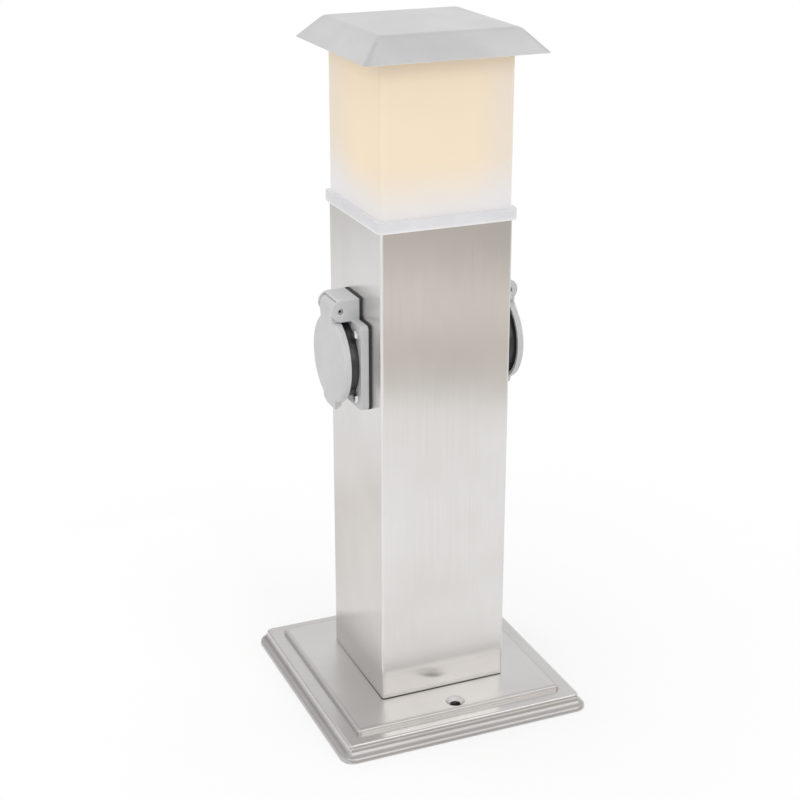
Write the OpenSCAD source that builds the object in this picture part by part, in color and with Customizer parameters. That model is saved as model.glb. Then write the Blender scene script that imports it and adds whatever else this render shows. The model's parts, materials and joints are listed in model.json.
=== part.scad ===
// Garden socket post: a stainless post on a stamped plinth, with a hinged-lid mains
// socket on each side and an opal lamp head under a sheet-metal cap.
// Millimetres, +Z up, origin on the ground under the middle of the plinth.
// The front of the post faces -Y, the sockets face -X (left) and +X (right).

/* [Plinth] */
// Width of the square plinth
base_w = 160; // [140:1:220]
// Height of the raised panel above the ground
base_h = 13.5; // [12.5:0.5:20]
// Sheet thickness of the plinth
base_sheet = 1; // [0.8:0.1:1.2]
// Corner radius at the ground
base_corner_r = 8; // [4:0.5:12]
// Corner radius of the raised panel
base_panel_r = 2.5; // [1.5:0.5:5]
// Radius of the rounded lip at the ground
lip_r = 2.9; // [2:0.1:4]
// Radius of the hollow above the lip
cove_r = 5.9; // [4:0.1:6.5]
// Radius of the ridge above the hollow
ridge_r = 1.3; // [1.3:0.1:2]
// Distance from the ground edge to the riser of the panel
step_inset = 13.5; // [9:0.5:18]
// Radius of the panel's top edge
panel_edge_r = 1.3; // [1.3:0.1:2]
// Clear diameter of an anchor hole
anchor_hole_d = 6.5; // [4:0.5:8]
// Diameter of an anchor hole's countersink
anchor_sink_d = 11; // [9:0.5:14]
// Depth of the pressed dimple around an anchor hole
anchor_dimple_h = 4.2; // [4:0.1:6]
// Distance between the two anchor holes
anchor_pitch = 116; // [110:1:124]

/* [Post] */
// Width of the square post
post_w = 80; // [76:1:100]
// Length of the post
post_h = 290; // [270:1:600]
// Sheet thickness of the post
post_sheet = 1; // [0.8:0.1:1.5]
// Outer bend radius of the post's corners
post_bend_r = 1.8; // [1.2:0.1:3]
// Sheet thickness of the frames inside the post
frame_sheet = 1.5; // [1:0.1:2]
// Height of the foot frame's walls
foot_frame_h = 18; // [14:1:24]
// Distance between foot bolts
foot_bolt_pitch = 50; // [46:1:54]
// Diameter of the foot bolts
foot_bolt_d = 5; // [4:1:6]
// Diameter of the cable inlet's hole in the sheet
inlet_hole_d = 20; // [18:1:24]
// Bore of the rubber grommet
grommet_bore_d = 11; // [8:1:13]

/* [Socket] */
// Depth of the socket's centre below the top of the post
socket_drop = 82.5; // [76:0.5:100]
// Width of the square flange
flange_w = 50.5; // [49.5:0.5:54]
// Corner radius of the flange
flange_r = 2.5; // [1:0.5:4]
// Thickness of the flange
flange_t = 4.8; // [4:0.1:6]
// Thickness of the rubber gasket
gasket_t = 1.6; // [1:0.1:3]
// How far the gasket shows past the flange
gasket_margin = 0.2; // [0:0.1:1]
// Distance between the flange's screws
flange_screw_pitch = 38; // [37.5:0.1:38.5]
// Diameter of the flange's screws
flange_screw_d = 3.5; // [3:0.5:4]
// Diameter of the plug's recess
cup_d = 39; // [39:0.1:39.4]
// Depth of the plug's recess
cup_depth = 17.5; // [17:0.1:18]
// Wall around the recess
cup_wall = 1.5; // [1.4:0.1:1.6]
// Diameter of the insert's visible rim
insert_rim_d = 45; // [44.6:0.1:45.4]
// How far the rim stands proud of the flange
insert_proud = 5.6; // [5:0.1:6]
// Thickness of the recess floor
cup_floor = 2.5; // [2:0.1:3]
// Distance between the two contact holes
contact_pitch = 19; // [18.8:0.1:19.2]
// Diameter of a contact hole
contact_hole_d = 5.5; // [5.2:0.1:6]
// Depth of the cover behind the recess
rear_cover_h = 18; // [16:0.5:19]

/* [Lid] */
// Diameter of the lid's disc
lid_d = 52; // [50:0.5:54]
// Height of the lid's rim
lid_h = 4.7; // [4.3:0.1:6]
// Wall of the lid
lid_wall = 1.8; // [1.5:0.1:2]
// Width of the lid's arm and finger tab
lid_arm_w = 18.4; // [17:0.1:19.8]
// How far the finger tab hangs below the disc
lid_tab = 3.6; // [2:0.1:6]
// Height of the hinge pin above the socket's centre
hinge_rise = 31.2; // [30.5:0.1:33]
// Distance from the post's face to the hinge pin
hinge_reach = 13.1; // [13:0.1:14]
// Diameter of the hinge pin
pin_d = 3.4; // [3:0.1:3.6]
// Diameter of the lid's hinge knuckle
knuckle_d = 10; // [9.6:0.1:10.4]
// Height of the round-ended hinge ears
ear_d = 12.8; // [12.6:0.1:13.2]
// Thickness of each hinge ear
ear_t = 1.9; // [1.5:0.1:3]
// How far the ears' hood reaches past the pin
hood_reach = 1.6; // [1:0.1:1.8]
// Wire diameter of the lid's spring
spring_wire_d = 0.6; // [0.5:0.1:0.8]
// Turns of the lid's spring
spring_turns = 5; // [4:1:5]

/* [Lamp head] */
// How far the collar stands past the post's faces
collar_overhang = 2.1; // [1.5:0.1:4]
// Visible height of the collar
collar_h = 6.5; // [5:0.5:12]
// How far the shade's faces lie behind the post's faces
shade_setback = 0.25; // [0.2:0.05:2]
// Wall of the opal shade
shade_wall = 2.5; // [2:0.1:3]
// Corner radius of the shade
shade_r = 3; // [2.8:0.1:5]
// Height of the shade above the collar
shade_h = 97; // [90:1:160]
// How far the cap stands past the shade on each side
cap_overhang = 14.7; // [10:0.1:24]
// Height of the cap's sloping skirt
cap_skirt_h = 13; // [8:0.5:20]
// Width of the cap's flat top past the shade on each side
cap_top_margin = 1.75; // [1:0.25:4]
// Sheet thickness of the cap
cap_sheet = 1; // [0.8:0.1:1.2]
// Radius of the soft bend between the skirt and the top
cap_bend_r = 6; // [4:0.5:8]
// Corner radius of the cap's lower edge
cap_corner_r = 3; // [2:0.5:6]
// Depth of the lamp bracket below the post's top
bracket_drop = 40; // [38:0.5:42]

/* [Hidden] */
$fn = 64;
left = 0;
right = 1;

// Clearances
slip = 0.1;
thread_gap = 0.05;
pin_gap = 0.05;
moving_gap = 0.35;
seat_gap = 0.3;
cut = 1;

// Facets of the rounded lofts
corner_steps = 5;
arc_steps = 4;

// Plinth
base_half = base_w / 2;
s_angle = 28.4;
lip_z = 0.5;
anchor_boss_wall = 1.3;

// Post and its frames
post_half = post_w / 2;
post_top = base_h + post_h;
post_in = post_half - post_sheet;
frame_r = 1.6;
frame_ledge = 10;
frame_in = post_in - frame_ledge;
foot_floor_top = base_h + frame_sheet;
foot_bolt_r = foot_bolt_d / 2;
foot_head_r = foot_bolt_d * 0.9;
foot_head_h = foot_bolt_d * 0.6;
foot_nut_r = foot_bolt_d * 0.92;
foot_nut_h = foot_bolt_d * 0.8;
inlet_r = inlet_hole_d / 2;
grommet_lip_w = 3;
grommet_lip_h = 2;

// Terminal block on the tab of the foot frame
tab_half = 30;
tab_rise = 62;
tab_top = base_h + tab_rise;
tab_face = post_in - frame_sheet;
pole_pitch = 16;
lane_pitch = 4;
wire_d = 2.8;
wire_r = wire_d / 2;
wire_back = 8;
wire_bow = 1.5;
lane_y = tab_face - wire_back;
block_half = 23;
block_depth = 16;
block_rise = 34.5;
block_z = base_h + block_rise;
block_h = 22;
block_top = block_z + block_h;
lug_w = 6;
lug_t = 4;
lug_x = block_half + lug_w / 2;
entry_depth = 8;
supply_r = 2.2;
pit_r = 2.4;
pit_depth = 4.5;
pit_rise = 5;
terminal_screw_r = 2.2;
terminal_screw_h = 3;
small_screw_r = 1.5;
small_head_r = 2.6;
small_head_h = 2;
stud_r = 2;
stud_rise = 24.5;
stud_z = base_h + stud_rise;
stud_len = 13.5;
stud_nut_r = 4;
stud_nut_h = 3.2;
lug_ring_r = 4.2;
lug_ring_t = 0.8;
lug_barrel = 10;

// Socket, measured outward from the post's face and up from its own centre
socket_z = post_top - socket_drop;
flange_back = gasket_t;
flange_face = gasket_t + flange_t;
flange_half = flange_w / 2;
rim_r = insert_rim_d / 2;
cup_r = cup_d / 2;
body_r = cup_r + cup_wall;
shoulder_r = rim_r + 1;
shoulder_t = 2;
cutout_r = body_r + 1;
insert_front = flange_face + insert_proud;
cup_bottom = insert_front - cup_depth;
insert_back = cup_bottom - cup_floor;
cover_back = insert_back - rear_cover_h;
cover_wall = 2;
contact_hole_r = contact_hole_d / 2;
sleeve_r = 3.6;
sleeve_bore_r = 2.45;
sleeve_len = 12;
tail_r = 1.5;
clip_w = 7;
clip_t = 0.8;
clip_len = 13.5;
clip_tail_x = 14;
screw_r = flange_screw_d / 2;
screw_hole_r = screw_r + slip;
screw_head_r = flange_screw_d * 0.9;
screw_head_h = flange_screw_d * 0.57;
screw_nut_r = flange_screw_d * 0.98;
screw_nut_h = flange_screw_d * 0.8;
cross_w = 0.8;
cross_depth = 1;
screw_tail = 1.5;

// Hinge and lid
pin_r = pin_d / 2;
pin_hole_r = pin_r + pin_gap;
knuckle_r = knuckle_d / 2;
ear_r = ear_d / 2;
ear_lip = 0.2;
ear_end = hinge_reach + knuckle_r + ear_lip;
slot_half = lid_arm_w / 2 + moving_gap;
hinge_half = slot_half + ear_t;
pin_recess = 0.9;
lid_r = lid_d / 2;
lid_back = insert_front + seat_gap;
lid_face = lid_back + lid_h;
lid_inner = lid_face - lid_wall;
lid_rim_r = lid_r - lid_wall;
lid_edge_r = 1.6;
lid_crown = 0.6;
arm_foot = lid_r * 0.55;
tab_inset = 1.6;
tab_t = 1.6;
tab_taper = 3;
seal_in_r = cup_r + 0.4;
seal_out_r = rim_r - 0.1;
pocket_half = 4.6;
pocket_r = 3.3;
spring_r = pin_r + 0.3 + spring_wire_d / 2;
spring_pitch = spring_wire_d + 0.5;
spring_leg = hinge_reach - flange_face - seat_gap;
spring_tip = 0.06;

// Lamp head
collar_half = post_half + collar_overhang;
collar_top = post_top + collar_h;
collar_edge_r = 3.2;
spigot_h = 11.5;
spigot_wall = 4;
spigot_bottom = post_top - spigot_h;
spigot_half = post_in - 2 * slip;
spigot_in = spigot_half - spigot_wall;
ledge_h = 3;
ledge_top = spigot_bottom + ledge_h;
groove_depth = 3;
shade_half = post_half - shade_setback;
shade_in = shade_half - shade_wall;
shade_bottom = collar_top - groove_depth;
shade_top = collar_top + shade_h;
seal_h = 2;
cap_inner = shade_top + seal_h;
cap_top = cap_inner + cap_sheet;
cap_half = shade_half + cap_overhang;
cap_top_half = shade_half + cap_top_margin;
cap_edge = cap_top - cap_skirt_h;
ledge_screw = (frame_in + spigot_in) / 2;
top_frame_h = 12;

// Lamp bracket, holder and bulb
bracket_half_w = 12;
bracket_leg = 24.5;
bracket_floor = post_top - bracket_drop;
holder_r = 19;
holder_h = 40;
holder_base_h = 6.5;
holder_bore_r = 14.5;
holder_boss_r = 11.5;
holder_boss_h = 7.5;
holder_bottom = bracket_floor;
boss_bottom = bracket_floor - holder_boss_h;
ring_nut_r = 16;
ring_nut_h = 4.5;
shell_t = 0.8;
shell_h = 28;
shell_z = holder_bottom + holder_base_h;
bulb_gap = 0.3;
bulb_cap_r = holder_bore_r - shell_t - bulb_gap;
bulb_ridge = 0.5;
bulb_ridges = 5;
bulb_ridge_pitch = 3.6;
bulb_cap_h = 25;
bulb_tip_r = 5;
bulb_tip_h = 1.5;
contact_disc_h = 3;
bulb_z = shell_z + contact_disc_h;
bulb_cap_top = bulb_z + bulb_tip_h + bulb_cap_h;
globe_r = 23;
globe_rise = 34;
globe_t = 1.2;
globe_neck_r = bulb_cap_r - bulb_gap;
globe_shoulder_r = 20.5;
globe_shoulder_rise = 23.6;

// Square with exact round corners
module rounded_square(half, r) {
  square([2 * half, 2 * (half - r)], center = true);
  square([2 * (half - r), 2 * half], center = true);
  for (x = [-1, 1], y = [-1, 1])
    translate([x * (half - r), y * (half - r)]) circle(r);
}

// Square ring between two half widths
module square_ring(outer, outer_r, inner, inner_r) {
  difference() {
    rounded_square(outer, outer_r);
    rounded_square(inner, inner_r);
  }
}

// Children at the four corners of a square pattern
module four(pitch) {
  for (x = [-1, 1], y = [-1, 1])
    translate([x * pitch / 2, y * pitch / 2, 0]) children();
}

// Points of one level of a loft, a rounded square at one height
function corner_ring(half, r, z) = [
  for (q = [0:3], i = [0:corner_steps])
    let (a = 90 * (q + i / corner_steps), c = half - r)
    [c * sign(cos(90 * q + 45)) + r * cos(a), c * sign(sin(90 * q + 45)) + r * sin(a), z]
];

// Closed skin through rings of equal length, with flat ends
module skin(rings) {
  n = len(rings[0]);
  last = len(rings) - 1;
  sides = [
    for (k = [0:last - 1], i = [0:n - 1])
      let (j = (i + 1) % n, a = k * n, b = (k + 1) * n)
      each [[a + i, b + i, b + j], [a + i, b + j, a + j]]
  ];
  first_end = [for (i = [0:n - 1]) i];
  last_end = [for (i = [n - 1:-1:0]) last * n + i];
  polyhedron([for (ring = rings) each ring], concat([first_end], sides, [last_end]));
}

// Points of an arc in a profile, from one angle to another
function arc(centre, r, from, to) = [
  for (i = [0:arc_steps])
    let (a = from + (to - from) * i / arc_steps)
    [centre.x + r * cos(a), centre.y + r * sin(a)]
];

// Profile of the plinth as distance in from its edge and height, for a skin that lies
// the given depth inside the metal
cove_foot = [lip_r * (1 - sin(s_angle)), lip_z + lip_r * cos(s_angle)];
cove_centre = [cove_foot.x - cove_r * sin(s_angle), cove_foot.y + cove_r * cos(s_angle)];
ridge_centre = [cove_centre.x + cove_r + ridge_r, cove_centre.y];
ridge_top = ridge_centre.y + ridge_r;
function base_profile(depth) = concat(
  [[depth, 0]],
  arc([lip_r, lip_z], lip_r - depth, 180, 90 + s_angle),
  arc(cove_centre, cove_r + depth, s_angle - 90, 0),
  arc(ridge_centre, ridge_r - depth, 180, 90),
  [[step_inset + depth, ridge_top - depth]],
  arc([step_inset + panel_edge_r, base_h - panel_edge_r], panel_edge_r - depth, 180, 90)
);
function base_ring(p) = corner_ring(base_half - p.x,
  base_corner_r + (base_panel_r - base_corner_r) * min(1, p.x / step_inset), p.y);

module base_plate() {
  inside = base_profile(base_sheet);
  outside = base_profile(0);
  sink_h = (anchor_sink_d - anchor_hole_d) / 2;
  color("silver") difference() {
    union() {
      skin([
        for (i = [len(inside) - 1:-1:0]) base_ring(inside[i]),
        for (p = outside) base_ring(p)
      ]);
      for (y = [-1, 1])
        translate([0, y * anchor_pitch / 2, base_h - anchor_dimple_h])
          cylinder(r = anchor_sink_d / 2 + anchor_boss_wall,
                   h = anchor_dimple_h - base_sheet / 2);
    }
    for (y = [-1, 1]) translate([0, y * anchor_pitch / 2, 0]) {
      cylinder(d = anchor_hole_d, h = base_h + cut);
      translate([0, 0, base_h - sink_h])
        cylinder(d1 = anchor_hole_d, d2 = anchor_sink_d, h = sink_h);
      translate([0, 0, base_h - slip / 2]) cylinder(d = anchor_sink_d, h = cut);
    }
    cylinder(r = inlet_r, h = base_h + cut);
    four(foot_bolt_pitch) cylinder(r = foot_bolt_r + slip, h = base_h + cut);
  }
}

// Side of the post: the frame of one socket, with +Z out of the post's face, +X up
// and the origin at the socket's centre on that face
module on_side(side) {
  mirror([side, 0, 0]) translate([-post_half, 0, socket_z]) rotate([0, -90, 0]) children();
}

module post_tube() {
  color("lightgray") difference() {
    translate([0, 0, base_h]) linear_extrude(post_h)
      square_ring(post_half, post_bend_r, post_in, post_bend_r - post_sheet / 2);
    for (side = [left, right]) on_side(side) translate([0, 0, -post_sheet - cut]) {
      cylinder(r = cutout_r, h = post_sheet + 2 * cut);
      four(flange_screw_pitch) cylinder(r = screw_hole_r, h = post_sheet + 2 * cut);
    }
  }
}

// Folded tray welded in the foot of the post, with a tab for the terminal block
module foot_frame() {
  color("gainsboro") difference() {
    union() {
      translate([0, 0, base_h]) linear_extrude(frame_sheet) rounded_square(post_in, frame_r);
      translate([0, 0, base_h]) linear_extrude(foot_frame_h)
        square_ring(post_in, frame_r, tab_face, frame_r / 2);
      translate([-tab_half, tab_face, base_h])
        cube([2 * tab_half, frame_sheet, tab_top - base_h]);
    }
    cylinder(r = inlet_r, h = foot_floor_top + cut);
    four(foot_bolt_pitch) cylinder(r = foot_bolt_r + slip, h = foot_floor_top + cut);
    for (x = [-lug_x, lug_x]) translate([x, tab_face - cut, block_z + block_h / 2])
      rotate([-90, 0, 0]) cylinder(r = small_screw_r + thread_gap, h = frame_sheet + 2 * cut);
  }
}

module foot_bolts() {
  bottom = base_h - base_sheet;
  color("silver") four(foot_bolt_pitch) {
    translate([0, 0, bottom - foot_head_h]) difference() {
      cylinder(r = foot_head_r, h = foot_head_h);
      translate([0, 0, -cut]) cylinder(r = foot_bolt_r * 0.8, h = cut + foot_head_h / 2, $fn = 6);
    }
    translate([0, 0, bottom - foot_head_h / 4])
      cylinder(r = foot_bolt_r, h = foot_floor_top + foot_nut_h + cut - bottom + foot_head_h / 4);
  }
}

module foot_nuts() {
  color("silver") four(foot_bolt_pitch) translate([0, 0, foot_floor_top]) difference() {
    cylinder(r = foot_nut_r, h = foot_nut_h, $fn = 6);
    translate([0, 0, -cut]) cylinder(r = foot_bolt_r + thread_gap, h = foot_nut_h + 2 * cut);
  }
}

module cable_grommet() {
  bottom = base_h - base_sheet - grommet_lip_h;
  height = base_sheet + frame_sheet + 2 * grommet_lip_h;
  color("dimgray") translate([0, 0, bottom]) difference() {
    union() {
      cylinder(r = inlet_r - slip, h = height);
      for (z = [0, height - grommet_lip_h]) translate([0, 0, z])
        cylinder(r = inlet_r + grommet_lip_w, h = grommet_lip_h);
    }
    translate([0, 0, -cut]) cylinder(d = grommet_bore_d, h = height + 2 * cut);
  }
}

// Three-pole terminal block: lanes for three wires out of the top of each pole
pole_x = [-pole_pitch, 0, pole_pitch];
module terminal_block() {
  front = tab_face - block_depth;
  middle = block_z + block_h / 2;
  color("white") difference() {
    union() {
      translate([-block_half, front, block_z]) cube([2 * block_half, block_depth, block_h]);
      translate([-block_half - lug_w, tab_face - lug_t, middle - lug_w / 2])
        cube([2 * (block_half + lug_w), lug_t, lug_w]);
    }
    for (x = pole_x) {
      for (k = [-1:1]) translate([x + k * lane_pitch, lane_y, block_top - entry_depth])
        cylinder(r = wire_r + slip, h = entry_depth + cut);
      translate([x, lane_y, block_z - cut]) cylinder(r = supply_r, h = entry_depth + cut);
      for (z = [block_z + pit_rise, block_top - pit_rise]) translate([x, front - cut, z])
        rotate([-90, 0, 0]) cylinder(r = pit_r, h = pit_depth + cut);
    }
    for (x = [-lug_x, lug_x]) translate([x, front - cut, middle])
      rotate([-90, 0, 0]) cylinder(r = small_screw_r + slip, h = block_depth + 2 * cut);
  }
}

module terminal_screws() {
  seat = tab_face - block_depth + pit_depth;
  color("silver")
    for (x = pole_x, z = [block_z + pit_rise, block_top - pit_rise])
      translate([x, seat, z]) rotate([90, 0, 0]) difference() {
        cylinder(r = terminal_screw_r, h = terminal_screw_h);
        translate([-cross_w / 2, -terminal_screw_r, terminal_screw_h - cross_depth])
          cube([cross_w, 2 * terminal_screw_r, 2 * cross_depth]);
      }
}

// Pan-head screw with a cross recess, head up from z = 0 and shank down
module pan_screw(head_r, head_h, shank_r, length) {
  difference() {
    union() {
      cylinder(r = head_r, h = head_h / 2);
      translate([0, 0, head_h / 2]) cylinder(r1 = head_r, r2 = head_r * 0.7, h = head_h / 2);
      translate([0, 0, -length]) cylinder(r = shank_r, h = length + head_h / 4);
    }
    for (a = [0, 90]) rotate([0, 0, a])
      translate([-head_r * 0.55, -cross_w / 2, head_h - cross_depth])
        cube([head_r * 1.1, cross_w, 2 * cross_depth]);
  }
}

module terminal_fixings() {
  color("silver") for (x = [-lug_x, lug_x])
    translate([x, tab_face - lug_t, block_z + block_h / 2]) rotate([90, 0, 0])
      pan_screw(small_head_r, small_head_h, small_screw_r, lug_t + frame_sheet - slip);
}

module earth_stud() {
  color("gold") translate([0, tab_face, stud_z]) rotate([90, 0, 0])
    cylinder(r = stud_r, h = stud_len);
}

// One nut on each side of the cable lug
module earth_nuts() {
  color("gold") for (y = [0, stud_nut_h + lug_ring_t])
    translate([0, tab_face - y, stud_z]) rotate([90, 0, 0]) difference() {
      cylinder(r = stud_nut_r, h = stud_nut_h, $fn = 6);
      translate([0, 0, -cut]) cylinder(r = stud_r + thread_gap, h = stud_nut_h + 2 * cut);
    }
}

module earth_lug() {
  back = tab_face - stud_nut_h;
  color("silver") translate([0, back, stud_z]) rotate([90, 0, 0]) difference() {
    union() {
      cylinder(r = lug_ring_r, h = lug_ring_t);
      translate([0, -wire_r, 0]) cube([lug_barrel, wire_d, lug_ring_t]);
    }
    translate([0, 0, -cut]) cylinder(r = stud_r + slip, h = lug_ring_t + 2 * cut);
  }
}

// Smooth path through hand-chosen points
wire_sides = 8;
wire_steps = 3;
function between(p, q, r, s, t) =
  0.5 * (2 * q + (r - p) * t + (2 * p - 5 * q + 4 * r - s) * t * t
    + (3 * q - p - 3 * r + s) * t * t * t);
function smooth(pts) = let (last = len(pts) - 1) [
  for (i = [0:last - 1], k = [0:wire_steps - 1])
    let (before = i > 0 ? pts[i - 1] : 2 * pts[0] - pts[1],
         after = i < last - 1 ? pts[i + 2] : 2 * pts[last] - pts[last - 1])
    between(before, pts[i], pts[i + 1], after, k / wire_steps),
  pts[last]
];
function unit(v) = v / norm(v);
function heading(path, i) =
  unit(path[min(i + 1, len(path) - 1)] - path[max(i - 1, 0)]);
// Directions across a path, each carried on from the one before so that the tube never twists
function carried(v, along) = unit(v - (v * along) * along);
first_across = [0.63, 0.77, 0.1];
function across_path(path) = [
  for (i = 0, v = carried(first_across, heading(path, 0));
       i < len(path);
       i = i + 1, v = carried(v, heading(path, i))) v
];
function tube_ring(path, i, across, r, sides) = let (up = cross(heading(path, i), across)) [
  for (k = [0:sides - 1])
    path[i] + r * (cos(360 * k / sides) * across + sin(360 * k / sides) * up)
];
module tube(path, r, sides) {
  across = across_path(path);
  skin([for (i = [0:len(path) - 1]) tube_ring(path, i, across[i], r, sides)]);
}

// Each wire leaves its lane in the terminal block and climbs the back of the post. The
// socket wires cross to the gap between the sockets at their own height, then rise and
// turn into the back of a socket; the lamp wire runs on to the lamp holder's boss.
wire_start = block_top - entry_depth + wire_r;
wire_mid = 4.6;
wire_turn = 11;
wire_ease = 2;
wire_climb = 24;
wire_in = post_half + cover_back - slip;
live_cross = 91;
earth_cross = 65;
neutral_cross = 43;
lane_rise = 6;
lamp_climb = 22;
lamp_run = 6;
lamp_wire_r = 5.5;
function lane(pole, k, top) = [
  [pole + k * lane_pitch, lane_y, wire_start],
  [pole + k * lane_pitch, lane_y, block_top + lane_rise],
  [pole + k * lane_pitch, lane_y, block_top + 2 * lane_rise],
  [pole + k * lane_pitch, lane_y + wire_bow, (block_top + top) / 2],
  [pole + k * lane_pitch, lane_y, top]
];
function socket_wire(pole, k, y, cross_z, end_z) = concat(lane(pole, k, cross_z), [
  [(pole + k * lane_pitch + k * wire_mid) / 2, (lane_y + y) / 2, cross_z + wire_climb / 2],
  [k * wire_mid, y, cross_z + wire_climb],
  [k * wire_mid, y, end_z - wire_turn],
  [k * (wire_mid + wire_ease), y, end_z - 0.3 * wire_turn],
  [k * (wire_in - 2 * wire_ease), y, end_z],
  [k * (wire_in - wire_ease), y, end_z],
  [k * wire_in, y, end_z]
]);
function lamp_wire(pole, x, y) =
  let (top = boss_bottom - 2 * lamp_run) concat(lane(pole, 0, top - 2 * lamp_climb), [
    [(pole + x) / 2, (lane_y + y) / 2, top - lamp_climb],
    [x, y, top],
    [x, y, top + lamp_run],
    [x, y, boss_bottom]
  ]);
contact_y = contact_pitch / 2;
module wire_set(pole, y, cross_z, end_z, lamp_x, lamp_y) {
  for (k = [-1, 1]) tube(smooth(socket_wire(pole, k, y, cross_z, end_z)), wire_r, wire_sides);
  tube(smooth(lamp_wire(pole, lamp_x, lamp_y)), wire_r, wire_sides);
}
module wires_live() {
  color("saddlebrown") wire_set(-pole_pitch, -contact_y, socket_z - live_cross, socket_z, -lamp_wire_r, 0);
}
module wires_neutral() {
  color("steelblue") wire_set(0, contact_y, socket_z - neutral_cross, socket_z, 0, lamp_wire_r);
}
module wires_earth() {
  bond_x = pole_pitch;
  lug_y = tab_face - stud_nut_h - lug_ring_t - wire_r;
  color("yellowgreen") {
    wire_set(pole_pitch, 0, socket_z - earth_cross, socket_z + clip_tail_x, lamp_wire_r, 0);
    tube(smooth([
      [lug_barrel - 2 * wire_ease, lug_y, stud_z],
      [lug_barrel - wire_ease, lug_y, stud_z],
      [lug_barrel, lug_y, stud_z],
      [bond_x - 0.6 * wire_ease, lug_y - 0.3 * wire_ease, stud_z + 0.8 * wire_ease],
      [bond_x, lane_y, block_z - 1.5 * wire_ease],
      [bond_x, lane_y, block_z],
      [bond_x, lane_y, block_z + entry_depth - cut]
    ]), wire_r, wire_sides);
  }
}

// Angle frame welded inside the top of the post, carrying the collar and the bracket
module top_frame() {
  color("gainsboro") difference() {
    union() {
      translate([0, 0, spigot_bottom - top_frame_h]) linear_extrude(top_frame_h)
        square_ring(post_in, frame_r, post_in - frame_sheet, frame_r / 2);
      translate([0, 0, spigot_bottom - frame_sheet]) linear_extrude(frame_sheet)
        square_ring(post_in, frame_r, frame_in, frame_r);
    }
    translate([0, 0, spigot_bottom - top_frame_h]) ledge_holes(top_frame_h, thread_gap);
  }
}

// Screw holes shared by the frame, the collar's ledge and the lamp bracket
module ledge_holes(height, gap) {
  for (x = [-ledge_screw, ledge_screw], y = [-ledge_screw, 0, ledge_screw])
    translate([x, y, -cut]) cylinder(r = small_screw_r + gap, h = height + 2 * cut);
}

module collar() {
  color("whitesmoke") difference() {
    union() {
      translate([0, 0, post_top]) linear_extrude(collar_h)
        square_ring(collar_half, collar_edge_r, spigot_in, frame_r);
      translate([0, 0, spigot_bottom]) linear_extrude(spigot_h + cut)
        square_ring(spigot_half, frame_r, spigot_in, frame_r);
      translate([0, 0, spigot_bottom]) linear_extrude(ledge_h)
        square_ring(spigot_half, frame_r, frame_in, frame_r);
    }
    translate([0, 0, shade_bottom]) linear_extrude(groove_depth + cut)
      square_ring(shade_half + slip, shade_r + slip, shade_in - slip, shade_r - shade_wall);
    translate([0, 0, spigot_bottom]) ledge_holes(ledge_h, slip);
  }
}

module collar_screws() {
  color("silver") four(2 * ledge_screw) translate([0, 0, ledge_top])
    pan_screw(small_head_r, small_head_h, small_screw_r, ledge_h + 2 * frame_sheet);
}

// Strap folded down from the collar's ledge, with the lamp holder on its floor
module lamp_bracket() {
  leg_h = ledge_top + frame_sheet - (bracket_floor - frame_sheet);
  tab_end = spigot_in - seat_gap;
  color("gainsboro") difference() {
    translate([0, bracket_half_w, 0]) rotate([90, 0, 0]) linear_extrude(2 * bracket_half_w) {
      translate([-bracket_leg, bracket_floor - frame_sheet])
        square([2 * bracket_leg, frame_sheet]);
      for (s = [0, 1]) mirror([s, 0]) {
        translate([bracket_leg - frame_sheet, bracket_floor - frame_sheet])
          square([frame_sheet, leg_h]);
        translate([bracket_leg - frame_sheet, ledge_top])
          square([tab_end - bracket_leg + frame_sheet, frame_sheet]);
      }
    }
    translate([0, 0, bracket_floor - frame_sheet - cut])
      cylinder(r = holder_boss_r + slip, h = frame_sheet + 2 * cut);
    translate([0, 0, ledge_top]) ledge_holes(frame_sheet, slip);
  }
}

module bracket_screws() {
  color("silver") for (x = [-ledge_screw, ledge_screw])
    translate([x, 0, ledge_top + frame_sheet])
      pan_screw(small_head_r, small_head_h, small_screw_r, ledge_h + 3 * frame_sheet);
}

module lamp_holder() {
  color("ivory") difference() {
    union() {
      translate([0, 0, holder_bottom]) cylinder(r = holder_r, h = holder_h);
      translate([0, 0, boss_bottom]) cylinder(r = holder_boss_r, h = holder_boss_h + cut);
    }
    translate([0, 0, shell_z]) cylinder(r = holder_bore_r, h = holder_h);
  }
}

module lamp_holder_nut() {
  top = bracket_floor - frame_sheet;
  color("ivory") translate([0, 0, top - ring_nut_h]) difference() {
    cylinder(r = ring_nut_r, h = ring_nut_h, $fn = 8);
    translate([0, 0, -cut]) cylinder(r = holder_boss_r + thread_gap, h = ring_nut_h + 2 * cut);
  }
}

module lamp_shell() {
  color("gold") translate([0, 0, shell_z]) difference() {
    cylinder(r = holder_bore_r, h = shell_h);
    translate([0, 0, -cut]) cylinder(r = holder_bore_r - shell_t, h = shell_h + 2 * cut);
  }
}

module lamp_centre_contact() {
  color("gold") translate([0, 0, shell_z]) {
    cylinder(r = bulb_tip_r, h = contact_disc_h / 2);
    translate([-bulb_tip_r / 2, -bulb_tip_r / 2, contact_disc_h / 2 - slip])
      cube([bulb_tip_r, bulb_tip_r, contact_disc_h / 2 + slip]);
  }
}

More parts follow.
